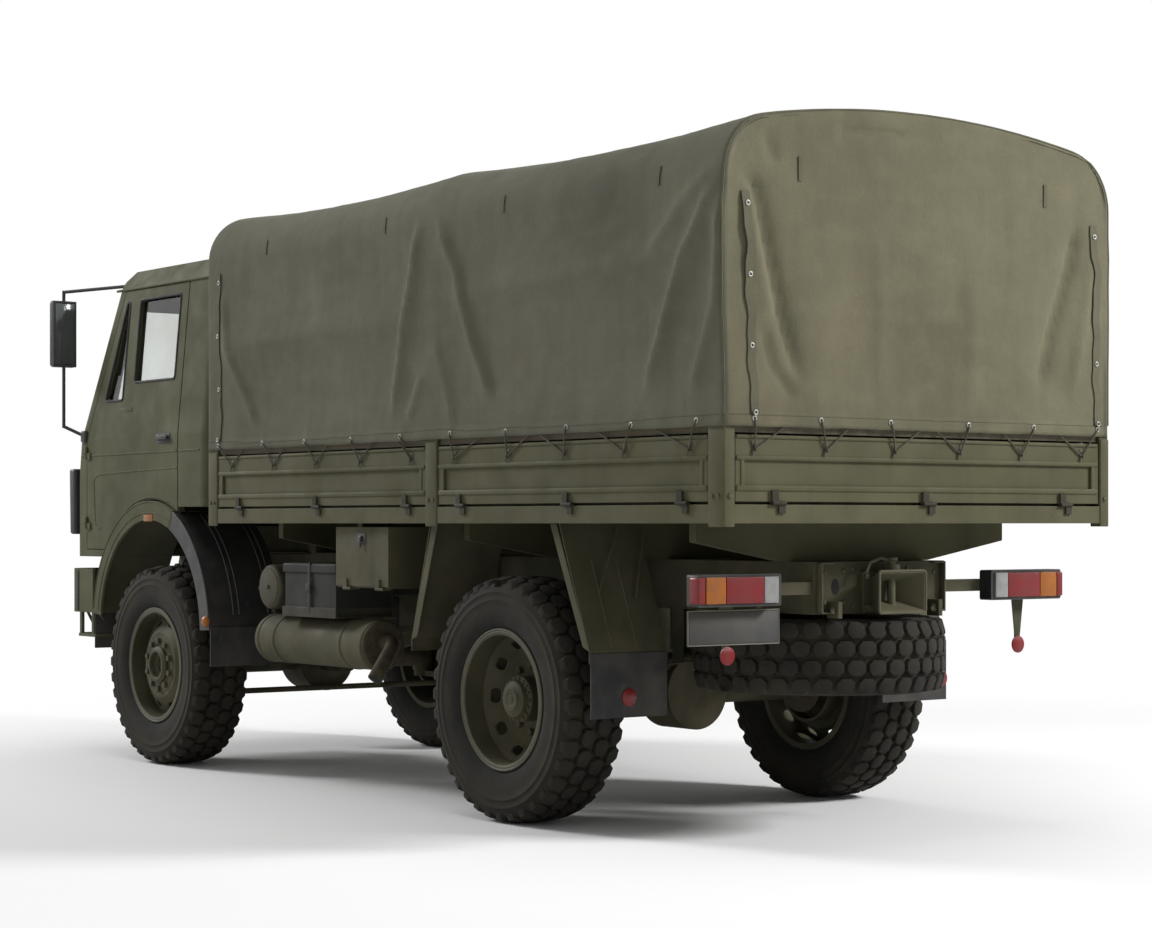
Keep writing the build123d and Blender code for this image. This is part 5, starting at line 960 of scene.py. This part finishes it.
def end_cloth(end_x, inward, folds):
    """The cloth that closes one end: rows from the left rim to the right one, without the rims."""
    rows = [(y, z, k) for y, z in half_section[:-1] for k in range(1, tail_columns)]
    cloth = np.array([(end_x, y * (1 - 2 * k / tail_columns), z) for y, z, k in rows])
    across, up = cloth[:, 1], cloth[:, 2]
    turned_in = np.arctan2(up - EAVE_Z, np.abs(across) - arch_y)
    in_corner = (up > EAVE_Z) & (turned_in < EAVE_TURN) & (np.abs(across) > arch_y)
    reach = np.where(up <= EAVE_Z, COVER_HALF - np.abs(across),
                     roof_radius - np.hypot(across, up - roof_middle_z))
    reach = np.where(in_corner, EAVE_RADIUS - np.hypot(np.abs(across) - arch_y, up - EAVE_Z), reach)
    lift = fold_lift(across, up, folds) + cloth_waves(cloth, (1, 2.2, 0.8), 0.006)
    lift += cloth_waves(cloth + 3.1, (1, 8.0, 3.0), 0.0016)
    for eyelet_y in TAIL_EYELETS:
        lift += 0.005 * np.exp(-((across - eyelet_y) / 0.035) ** 2 - (up - HEM_Z) / 0.14)
    lift += np.where(up < HEM_BAND_Z, 0.0022, 0.0)
    lift = np.maximum(lift, -0.003 - 0.25 * np.clip(reach - 0.05, 0, None))
    lift = np.where(up < 1.99, np.maximum(lift, -0.002), lift)
    lift *= np.clip(reach / 0.05, 0, 1)
    cloth[:, 0] += inward * (rim_drop(reach) - lift)
    cloth[:, 2] += np.where(up < HEM_Z + 0.001, cloth_waves(cloth * (0, 1, 0), (0, 3.1, 0), 0.004), 0)
    return cloth


tail_cloth = end_cloth(COVER_REAR_X, 1, TAIL_FOLDS)
front_cloth = end_cloth(COVER_FRONT_X, -1, TAIL_FOLDS[1:5])
points = np.concatenate([wall, tail_cloth, front_cloth])
around = len(section)


def row_points(first, loop, j):
    """The points of one row of an end, rim to rim. The last row is the single point at the ridge."""
    if j == ridge:
        return [loop + ridge] * (tail_columns + 1)
    inner = [first + j * (tail_columns - 1) + k for k in range(tail_columns - 1)]
    return [loop + j] + inner + [loop + around - 1 - j]


faces = []
for i in range(len(stations) - 1):
    for j in range(around - 1):
        a = i * around + j
        faces.append((a, a + 1, a + around + 1, a + around))
wall_faces = len(faces)
front_loop = (len(stations) - 1) * around
for first, loop, flip in ((len(wall), 0, True), (len(wall) + len(tail_cloth), front_loop, False)):
    for j in range(ridge):
        low_row, high_row = row_points(first, loop, j), row_points(first, loop, j + 1)
        for k in range(tail_columns):
            corners = (low_row[k], low_row[k + 1], high_row[k + 1], high_row[k])
            corners = tuple(dict.fromkeys(corners))
            faces.append(corners[::-1] if flip else corners)
cover_mesh = bpy.data.meshes.new("canvas_cover")
cover_mesh.from_pydata([tuple(point) for point in points], [], faces)
cover = bpy.data.objects.new("canvas_cover", cover_mesh)
scene.collection.objects.link(cover)
bpy.ops.object.select_all(action="DESELECT")
cover.select_set(True)
bpy.context.view_layer.objects.active = cover
bpy.ops.object.mode_set(mode="EDIT")
face_outwards()
bpy.ops.object.shade_smooth()


def canvas(name, colour, scuff):
    """Faded proofed canvas: blotches, a dry cross-hatched weave, rain streaks, scuffs and a dirty hem."""
    cloth, tree, shader = new_material(name)
    shade = coat(tree, tint(colour, 0.84), tint(colour, 1.16), mottle(tree, 1.3, 0.30, 0.70, detail=7))
    streaks = times(tree, mottle(tree, 14, 0.46, 0.80, stretch=(1, 1, 0.10)), 0.25)
    shade = coat(tree, shade, tint(colour, 0.70), streaks)
    scuffs = times(tree, mottle(tree, 3.1, 0.52, 0.78, stretch=(1, 1, 0.6), detail=10), scuff)
    shade = coat(tree, shade, (1.30 * colour[0], 1.24 * colour[1], 1.22 * colour[2]), scuffs)
    stains = times(tree, mottle(tree, 2.3, 0.54, 0.80, detail=8), 0.30)
    shade = coat(tree, shade, (0.120, 0.097, 0.062), stains)
    bleached = times(tree, mottle(tree, 7, 0.46, 0.80, stretch=(0.8, 0.8, 1.3), detail=14), 0.40)
    shade = coat(tree, shade, tint(colour, 1.45), bleached)
    hem_dirt = times(tree, ranged(tree, own_axis(tree, "Z"), 2.10, 1.94),
                     times(tree, mottle(tree, 7, 0.35, 0.65), 0.40))
    shade = coat(tree, shade, tint(colour, 0.60), hem_dirt)
    upright = mottle(tree, 260, 0.30, 0.70, stretch=(1, 1, 0.15), detail=2)
    level = mottle(tree, 260, 0.30, 0.70, stretch=(0.15, 0.15, 1), detail=2)
    weave = times(tree, upright, level)
    shade = coat(tree, shade, tint(colour, 0.72), times(tree, weave, 0.40))
    tree.links.new(shade, shader.inputs["Base Color"])
    shader.inputs["Roughness"].default_value = 0.88
    shader.inputs["Specular IOR Level"].default_value = 0.15
    shader.inputs["Sheen Weight"].default_value = 0.03
    shader.inputs["Sheen Roughness"].default_value = 0.5
    threads = bumped(tree, weave, 0.0010, 0.5)
    tree.links.new(dented(tree, threads, 26, 0.0022), shader.inputs["Normal"])
    return cloth


# The two copies of one canvas: the side's is the darker, painted shade, and the tail's is paler and warmer,
# painted light. The tail's heavier scuffing is wear.
cover_mesh.materials.append(canvas("canvas_side", (0.103, 0.101, 0.072), 0.50))
cover_mesh.materials.append(canvas("canvas_tail_painted_light", (0.118, 0.111, 0.071), 0.85))
for face in cover_mesh.polygons:
    face.material_index = 0 if face.index < wall_faces else 1
thicken = cover.modifiers.new("thickness", "SOLIDIFY")
thicken.thickness = CLOTH_THICK
thicken.offset = -1
bpy.ops.object.modifier_apply(modifier="thickness")
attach(cover, "chassis")
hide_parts("canopy")

# Fastenings of the cover: steel eyelets along the hem and the corner strips, canvas strips and strap tabs
# sewn on, a piped seam round the tail, and lacing hooked down to the side boards and the tailgate.
SIDE_HOOKS = [(1.109, -0.14), (0.614, -0.14), (0.134, -0.14), (-0.345, -0.14), (-0.860, 0.14),
              (-1.275, -0.26), (-1.755, -0.20), (-2.240, 0.23), (-2.715, 0.24), (-3.200, 0.28)]
TAIL_HOOKS = [(1.075, -0.20), (0.645, -0.15), (0.215, -0.18), (-0.210, 0.17), (-0.630, 0.14), (-1.060, 0.18)]
HOOK_Z = 1.858
HOOK_LINE = [(1.2440, 0.016), (1.2500, 0.014), (1.2520, -0.012), (1.2590, -0.016), (1.2620, -0.002)]
ROPE_RADIUS = 0.0042
EYELET_LINE = [(0.0060, 0.0005), (0.0064, 0.0030), (0.0095, 0.0044), (0.0128, 0.0034), (0.0138, 0.0002)]
STRIP_LINES = [("tail", 1.154, 1.107), ("tail", -1.112, -1.141), ("left", 1.286, 1.286)]
STRIP_STEPS = 25
STRIP_TOP_Z = 3.005
STRIP_DROP = 0.995
STRIP_WIDTH = 0.046
STRIP_EYELETS = (2.950, 2.632, 2.315, 2.015)
TAIL_PROBE = 1.306
worn_steel = painted_steel("worn_steel", (0.30, 0.295, 0.27), dust=0.1, wear=0.2, rough=0.42)
worn_steel.node_tree.nodes["Principled BSDF"].inputs["Metallic"].default_value = 0.7
rope_fibre = moulded("rope_fibre", (0.060, 0.052, 0.036), rough=0.9, dust=0.1, grain=0.0020)
hook_steel = painted_steel("hook_steel", (0.062, 0.056, 0.040), dust=0.2, wear=0.6, rough=0.6)


def on_cover(x, y, z, proud=0.0):
    """The nearest point on the cover's outside, stood off by this much."""
    found, place, facing, face = cover.closest_point_on_mesh((x, y, z))
    return place + facing * proud


def eyelet(place, along):
    """A pressed eyelet ring that faces along."""
    ring = turned("eyelet", EYELET_LINE, steps=16)
    return placed(ring, place, (0, 0, math.atan2(-along[0], along[1])))


def strip(name, path, across, thick):
    """A flat band of cloth along a path, this far across."""
    piece = drawn_line(path)
    bpy.ops.mesh.select_all(action="SELECT")
    bpy.ops.mesh.extrude_region_move(TRANSFORM_OT_translate={"value": across})
    face_outwards()
    wall = piece.modifiers.new("cloth", "SOLIDIFY")
    wall.thickness = thick
    wall.offset = 0
    bpy.ops.object.modifier_apply(modifier="cloth")
    bpy.ops.object.shade_smooth_by_angle(angle=math.radians(45))
    return settle(piece, name)


def spot(hand, along, out, up):
    """A place on the left or right side of the bed or on its tail, which stands further out by the shift."""
    if hand == "tail":
        return Vector((-out - GATE_SHIFT, along, up))
    return Vector((along, out if hand == "left" else -out, up))


def out_at(hand, along, up, probe):
    """How far out the cover stands on the left side or the tail, in the measure that spot reads."""
    place = on_cover(*spot(hand, along, probe, up))
    return -place.x - GATE_SHIFT if hand == "tail" else place.y


rings = []
hole_shades = []
lacing = []
hooks = {"side_board_front_left": [], "side_board_rear_left": [], "side_board_front_right": [],
         "side_board_rear_right": [], "tailgate": []}
OUTWARD = {"left": (0, 1, 0), "right": (0, -1, 0), "tail": (-1, 0, 0)}


def add_eyelet(place, hand):
    """An eyelet, and a flat near-black disc over its hole that stands for the shade in it: painted shade."""
    rings.append(eyelet(place, OUTWARD[hand]))
    hole_shades.append(stud("eyelet_hole_shade", place, OUTWARD[hand], 0.0062, 0.0022, sides=12))


def lace(hand, eyelet_at, hook_at, leg, board):
    """One eyelet, the hook below it on its board, and the three legs of lacing that meet there."""
    probe = TAIL_PROBE if hand == "tail" else 1.30
    eyelet_z = 1.990 if hand == "tail" else 1.983
    end_drop = 0.030 if hand == "tail" else 0.028
    add_eyelet(on_cover(*spot(hand, eyelet_at, probe, eyelet_z), 0.0004), hand)
    start = spot(hand, eyelet_at, 1.2535, eyelet_z + 0.002)
    eye = on_cover(*spot(hand, eyelet_at, probe, eyelet_z - 0.002), 0.005)
    lip_at = eyelet_at + 0.3 * (hook_at - eyelet_at)
    lip = on_cover(*spot(hand, lip_at, probe, HEM_Z + 0.004), 0.006)
    nook = spot(hand, hook_at, 1.2545, HOOK_Z - 0.006)
    tuck = spot(hand, hook_at + leg, 1.2500, HEM_Z + 0.012)
    loose_end = [spot(hand, hook_at + 0.010, 1.2545, HOOK_Z - 0.010),
                 spot(hand, hook_at + 0.014, 1.2545, HOOK_Z - 0.006 - end_drop)]
    lacing.append(tube("lacing", [start, eye, lip, nook], ROPE_RADIUS, 1))
    lacing.append(tube("lacing", [nook, nook + 0.12 * (tuck - nook), tuck], ROPE_RADIUS, 1))
    lacing.append(tube("lacing", loose_end, 0.003, 1))
    hook_path = [spot(hand, hook_at, out, HOOK_Z + up) for out, up in HOOK_LINE]
    hooks[board].append(tube("rope_hook", hook_path, 0.0035, 2))
    corners = (spot(hand, hook_at - 0.014, 1.2445, HOOK_Z - 0.004),
               spot(hand, hook_at + 0.014, 1.2480, HOOK_Z + 0.030))
    hooks[board].append(block("hook_pad", tuple(map(min, *corners)), tuple(map(max, *corners)), 0.0012))


for hand in ("left", "right"):
    for eyelet_x, (hook_x, leg) in zip(SIDE_EYELETS, SIDE_HOOKS):
        bay = "front" if hook_x > -1.0 else "rear"
        lace(hand, eyelet_x, hook_x, leg, f"side_board_{bay}_{hand}")
for eyelet_y, (hook_y, leg) in zip(TAIL_EYELETS, TAIL_HOOKS):
    lace("tail", eyelet_y, hook_y, leg, "tailgate")
for board, pieces in hooks.items():
    fasten(joined(pieces, f"rope_hooks_{board}"), board, hook_steel)
strips = []
for hand, top, foot in STRIP_LINES:
    probe = TAIL_PROBE if hand == "tail" else 1.32
    path = []
    for step in range(STRIP_STEPS + 1):
        share = step / STRIP_STEPS
        at = top + share * (foot - top) + 0.006 * math.sin(19 * share) + 0.004 * math.sin(41 * share + 1)
        z = STRIP_TOP_Z - STRIP_DROP * share
        out = max(out_at(hand, at, z, probe), out_at(hand, at - STRIP_WIDTH, z, probe))
        path.append(spot(hand, at, out + 0.0045, z))
    across = (0, -STRIP_WIDTH, 0) if hand == "tail" else (-STRIP_WIDTH, 0, 0)
    strips.append(strip("corner_strip", path, across, 0.0035))
    for z in STRIP_EYELETS:
        share = (STRIP_TOP_Z - z) / STRIP_DROP
        at = top + share * (foot - top) - STRIP_WIDTH / 2
        out = out_at(hand, at, z, probe)
        if hand == "tail":
            out = max(out, out_at(hand, at - 0.02, z, probe))
        add_eyelet(spot(hand, at, out + 0.0070, z), hand)
mirror_strip = copied(strips[2], "corner_strip")
mirror_strip.scale = (1, -1, 1)
strips.append(settle(mirror_strip, "corner_strip"))
tabs = []
for side in (1, -1):
    for tab_x in (0.714, -0.590, -1.716, -2.971):
        path = [on_cover(tab_x, side * (1.30 - 0.10 * max(0, z - 3.08)), z, 0.004)
                for z in (3.175, 3.150, 3.120, 3.095, 3.070)]
        tabs.append(strip("strap_tab", path, (0.022, 0, 0), 0.004))
for tab_y in (0.800, -0.800):
    path = [on_cover(-3.50, tab_y, z, 0.004) for z in (3.184, 3.150, 3.110, 3.072)]
    tabs.append(strip("strap_tab", path, (0, 0.022, 0), 0.004))
piping_path = [on_cover(COVER_REAR_X - 0.03, y * 1.025, z + 0.03 * max(0.0, (z - EAVE_Z) / 0.37), 0.0015)
               for y, z in section[4:-4]]
piping = tube("tail_piping", piping_path, 0.0050, 2)
trim_canvas = canvas("canvas_trim", (0.100, 0.095, 0.062), 0.3)
fasten(joined(strips + [piping], "cover_strips"), "chassis", trim_canvas)
fasten(joined(tabs, "cover_tabs"), "chassis", trim_canvas)
fasten(joined(rings, "cover_eyelets"), "chassis", worn_steel)
# Near-black discs in the eyelet holes: painted shade.
fasten(joined(hole_shades, "cover_eyelet_hole_shades"), "chassis", soot_and_painted_shade)
fasten(joined(lacing, "cover_lacing"), "chassis", rope_fibre)
seam_x = np.linspace(COVER_REAR_X + 0.02, COVER_FRONT_X - 0.02, 160)
seam_paths = [[on_cover(x, 1.32, HEM_BAND_Z, 0.0004) for x in seam_x],
              [on_cover(-3.52, y, HEM_BAND_Z, 0.0004) for y in np.linspace(1.235, -1.235, 90)],
              [on_cover(x, -1.32, HEM_BAND_Z, 0.0004) for x in seam_x]]
seams = [tube("hem_seam", path, 0.0016, 1) for path in seam_paths]
fasten(joined(seams, "hem_seams"), "chassis", trim_canvas)

# Cab: a pressed steel shell over a crowned roof, tilting on its front pivots. The doors have a waist crease
# and a bead round the lower panel, and the panes are set in black rubber.
CAB_HALF = 1.200
BELT_Z = 2.070
GUTTER_Z = 3.027
GUTTER_HALF = 1.112
WINDOWS = [[(2.010, 2.420), (2.572, 2.420), (2.572, 2.952), (2.010, 2.952)],
           [(2.720, 2.312), (2.978, 2.312), (2.758, 2.948), (2.720, 2.948)]]
PANEL_BEAD = [(1.925, 1.862), (2.300, 1.856), (2.700, 1.847), (3.010, 1.838), (3.060, 1.830), (3.090, 1.808),
              (3.101, 1.775), (3.092, 1.650), (3.080, 1.535), (3.070, 1.505), (3.045, 1.487), (3.012, 1.480)]
SCREEN_UP = Vector((-0.425, 0, 0.985)).normalized()
SCREEN_OUT = Vector((0.985, 0, 0.425)).normalized()
SCREEN_MIDDLE = Vector((3.1575, 0, 2.5625))
SCREEN_EDGE = [(-0.975, -0.400), (0.975, -0.400), (0.975, 0.400), (-0.975, 0.400)]
cab_paint = painted_steel("cab_paint", (0.074, 0.075, 0.042), dust=0.22, wear=0.45, rough=0.76)
for node in ("cab_front", "cab_back", "cab_roof", "door_left", "door_right", "cab_floor", "front_bumper"):
    finish_node(node, cab_paint)
finish_node("grille", drum_paint)
inside_paint = painted_steel("inside_paint", (0.050, 0.050, 0.046), dust=0.05, wear=0.3, rough=0.6)
finish_node("dashboard", inside_paint)
finish_node("cab_fittings", inside_paint)
finish_node("steering_wheel", black_plastic)
finish_node("mirrors", black_plastic)
pane, tree, shader = new_material("pane")
shader.inputs["Transmission Weight"].default_value = 1.0
shader.inputs["IOR"].default_value = 1.30
film = coat(tree, (0.80, 0.82, 0.81), (0.70, 0.71, 0.68), mottle(tree, 2.4, 0.35, 0.70))
tree.links.new(film, shader.inputs["Base Color"])
shader.inputs["Roughness"].default_value = 0.0
for node in ("door_glass_left", "door_glass_right", "windscreen"):
    finish_node(node, pane)


def cab_side(x, z, proud=0.0):
    """A point on the left side of the cab, stood off by this much."""
    lean = max(0.0, (z - BELT_Z) / (GUTTER_Z - BELT_Z))
    return (x, CAB_HALF - lean * (CAB_HALF - GUTTER_HALF) + proud, z)


def rounded_ring(corners, radius, steps=5):
    """A closed outline with rounded corners, in two coordinates."""
    ring = []
    for index, corner in enumerate(corners):
        corner = Vector(corner)
        before = (Vector(corners[index - 1]) - corner).normalized()
        after = (Vector(corners[(index + 1) % len(corners)]) - corner).normalized()
        half = before.angle(after) / 2
        reach = radius / math.tan(half)
        start, end = corner + before * reach, corner + after * reach
        for step in range(steps + 1):
            share = step / steps
            ring.append((1 - share) ** 2 * start + 2 * share * (1 - share) * corner + share ** 2 * end)
    return ring + ring[:1]


def crease(name, rear, front):
    """A pressed crease along the side of the cab, between two (x, z) points."""
    return tube(name, [cab_side(*rear, -0.0030), cab_side(*front, -0.0030)], 0.0075)


window_rubber = []
for outline in WINDOWS:
    path = [cab_side(x, z, -0.001) for x, z in rounded_ring(outline, 0.024)]
    window_rubber.append(tube("window_rubber", path, 0.0085))
pair(joined(window_rubber, "window_rubber"), "door_left", black_rubber, "door_right")
arch_path = [arch_point(0.832, turn, 1.1978) for turn in range(58, 110, 4)]
door_beads = [crease("waist_crease", (1.925, 1.967), (3.196, 1.962)),
              tube("panel_bead", [cab_side(x, z, -0.0025) for x, z in PANEL_BEAD], 0.0065),
              tube("arch_bead", arch_path, 0.0060)]
pair(joined(door_beads, "door_beads"), "door_left", cab_paint, "door_right")
door_seal = tube("door_seal", [cab_side(1.9090, z, -0.016) for z in (1.480, 2.070, 2.550, 3.015)], 0.0045, 2)
pair(door_seal, "cab", black_rubber)
pair(crease("quarter_crease", (1.625, 1.968), (1.900, 1.967)), "cab", cab_paint)
pair(crease("nose_crease", (3.213, 1.962), (3.290, 1.962)), "cab", cab_paint)
handle = [block("handle_dish", (2.010, 1.1985, 2.020), (2.190, 1.2045, 2.080), 0.0025),
          block("handle_grip", (2.020, 1.2160, 2.040), (2.150, 1.2260, 2.068), 0.0045, 3),
          block("handle_foot", (2.020, 1.2030, 2.044), (2.040, 1.2190, 2.064), 0.003),
          block("handle_root", (2.125, 1.2030, 2.036), (2.165, 1.2240, 2.072), 0.005),
          stud("handle_key", (2.176, 1.2035, 2.050), (0, 1, 0), 0.011, 0.008)]
pair(joined(handle, "door_handle"), "door_left", black_plastic, "door_right")
blank_pad = block("blank_pad", (2.560, 1.1780, 2.232), (2.740, 1.1860, 2.262), 0.003)
pair(blank_pad, "door_left", cab_paint, "door_right")
gutter = tube("gutter", [(1.560, 1.116, 3.030), (2.400, 1.116, 3.032), (2.930, 1.112, 3.033)], 0.0085, 3)
pair(gutter, "cab", cab_paint)
flare_lips = [tube("flare_lip", [arch_point(reach, turn, 1.2215) for turn in range(8, 113, 4)], 0.0045, 2)
              for reach in (0.803, 0.735, 0.695)]
pair(joined(flare_lips, "flare_lips"), "cab", cab_paint)
deflector = block("corner_deflector", (3.362, 1.150, 1.446), (3.440, 1.222, 1.880), 0.016, 3)
for corner in deflector.data.vertices:
    corner.co.x -= 0.16 * max(0.0, 1.66 - corner.co.z) * 0.4
pair(deflector, "cab", black_plastic)
bumper_strip = block("bumper_strip", (3.298, 1.2130, 0.945), (3.326, 1.2210, 1.206), 0.004)
pair(bumper_strip, "chassis", black_rubber)
gussets = []
for hanger_x in (3.090, 3.270):
    gussets.append(tube("step_brace", [(hanger_x, 1.090, 0.792), (hanger_x - 0.040, 1.190, 0.945)], 0.010))
for tread_x in np.linspace(3.070, 3.280, 8):
    tread_bar = block("step_tread", (tread_x - 0.004, 1.095, 0.790), (tread_x + 0.004, 1.208, 0.797), 0.0015)
    gussets.append(tread_bar)
pair(joined(gussets, "step_trim"), "chassis", cab_paint)
screen_ring = [SCREEN_MIDDLE + Vector((0, y, 0)) + SCREEN_UP * up
               for y, up in rounded_ring(SCREEN_EDGE, 0.075)]
fasten(tube("screen_rubber", screen_ring, 0.013), "cab", black_rubber)
wipers = []
for pivot_y in (0.520, -0.240):
    pivot = SCREEN_MIDDLE + Vector((0, pivot_y, 0)) + SCREEN_UP * -0.430 + SCREEN_OUT * 0.012
    tip = SCREEN_MIDDLE + Vector((0, pivot_y + 0.300, 0)) + SCREEN_UP * -0.330 + SCREEN_OUT * 0.004
    blade_ends = [tip + Vector((0, y, 0)) + SCREEN_UP * 0.01 for y in (-0.26, 0.12)]
    wipers += [stud("wiper_pivot", pivot - SCREEN_OUT * 0.014, SCREEN_OUT, 0.016, 0.026),
               tube("wiper_arm", [pivot, tip], 0.0055),
               tube("wiper_blade", blade_ends, 0.006)]
fasten(joined(wipers, "wipers"), "cab", black_plastic)

# Mirrors: tall heads on black steel tube arms, one on each side of the cab. Each is a moulded plastic shell
# with a silvered pane let into its back and a lip round the pane.
MIRROR_EDGE = [(1.222, 2.563), (1.373, 2.563), (1.373, 2.982), (1.222, 2.982)]
silvered, tree, shader = new_material("silvered")
shade = coat(tree, (0.085, 0.095, 0.097), (0.115, 0.122, 0.120), mottle(tree, 4, 0.3, 0.7))
tree.links.new(shade, shader.inputs["Base Color"])
shader.inputs["Metallic"].default_value = 0.35
shader.inputs["Roughness"].default_value = 0.12
shell = block("mirror_shell", (3.340, 1.2120, 2.552), (3.404, 1.3830, 2.993), 0.022, 4)
pair(shell, "cab", black_plastic)
silver = block("mirror_pane", (3.3345, 1.2290, 2.572), (3.3392, 1.3660, 2.973), 0.0018)
pair(silver, "cab", silvered)
lip_path = [Vector((3.3370, y, z)) for y, z in rounded_ring(MIRROR_EDGE, 0.016)]
mirror_trim = [tube("mirror_lip", lip_path, 0.006, 2),
               block("mirror_foot", (3.205, 1.1850, 2.052), (3.275, 1.2180, 2.130), 0.012, 3)]
pair(joined(mirror_trim, "mirror_trim"), "cab", black_plastic)

# Headlamps: round fluted glass lenses let into the front bumper, one at each end. A bright pressed steel
# bezel holds each lens round its edge.
BEZEL_LINE = [(0.080, 0.0), (0.081, 0.0045), (0.088, 0.0050), (0.093, 0.0030), (0.094, -0.002)]
lamp_glass, tree, shader = new_material("lamp_glass")
flutes = fluted(tree, 32)
shade = coat(tree, (0.36, 0.37, 0.37), (0.60, 0.61, 0.60), flutes)
tree.links.new(shade, shader.inputs["Base Color"])
shader.inputs["Roughness"].default_value = 0.12
shader.inputs["Coat Weight"].default_value = 0.6
tree.links.new(bumped(tree, flutes, 0.002), shader.inputs["Normal"])
finish_node("headlamps", lamp_glass)
bezel = turned("lamp_bezel", BEZEL_LINE, steps=48)
pair(placed(bezel, (3.4620, 0.900, 1.0755), (0, 0, math.radians(-90))), "chassis", worn_steel)

# Seats: a driver's seat and a double one beside it, on steel bases. The pads are foam in dark coated cloth,
# drawn in along sewn channels.
SEAT_PADS = [((1.822, 0.412, 1.9805), (2.298, 0.948, 2.104), 2),
             ((1.6905, 0.422, 2.043), (1.804, 0.938, 2.718), 0),
             ((1.822, -1.088, 1.9805), (2.298, -0.412, 2.104), 2),
             ((1.6905, -1.078, 2.043), (1.804, -0.422, 2.718), 0)]
PAD_ROUND = 0.034
CHANNELS = (-0.5, 0.0, 0.5)


def seat_pad(low, high, face_axis):
    """A stuffed pad: a rounded box whose face is crowned and drawn in along three sewn channels."""
    low, high = Vector(low), Vector(high)
    middle, half = (low + high) / 2, (high - low) / 2
    bpy.ops.object.select_all(action="DESELECT")
    bpy.ops.mesh.primitive_cube_add(size=2)
    piece = bpy.context.object
    bpy.ops.object.mode_set(mode="EDIT")
    bpy.ops.mesh.select_all(action="SELECT")
    bpy.ops.mesh.subdivide(number_cuts=31)
    bpy.ops.object.mode_set(mode="OBJECT")
    other = 2 if face_axis == 0 else 0
    for corner in piece.data.vertices:
        unit = corner.co.copy()
        point = Vector([unit[axis] * half[axis] for axis in range(3)])
        core = [size - PAD_ROUND for size in half]
        inner = Vector([max(-core[axis], min(core[axis], point[axis])) for axis in range(3)])
        out = point - inner
        if out.length > 0:
            point = inner + out.normalized() * min(PAD_ROUND, out.length)
        swell = (1 - unit.y ** 2) * (1 - unit[other] ** 2)
        if unit[face_axis] > 0:
            channel = sum(math.exp(-((unit.y - line) / 0.035) ** 2) for line in CHANNELS)
            point[face_axis] += 0.014 * swell - 0.008 * channel * (1 - unit[other] ** 6)
            point[face_axis] -= 0.014
        pinch = 1 - unit[face_axis] ** 2
        point.y -= 0.010 * pinch * (1 - unit[other] ** 2) * unit.y ** 3
        corner.co = middle + point
    bpy.ops.object.shade_smooth()
    return settle(piece, "seat_pad")


seat_cloth = moulded("seat_cloth", (0.030, 0.031, 0.026), rough=0.78, dust=0.0, grain=0.0016)
seat_pads = joined([seat_pad(*size) for size in SEAT_PADS], "seat_pads")
fasten(seat_pads, "cab", seat_cloth)
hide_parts("seats")
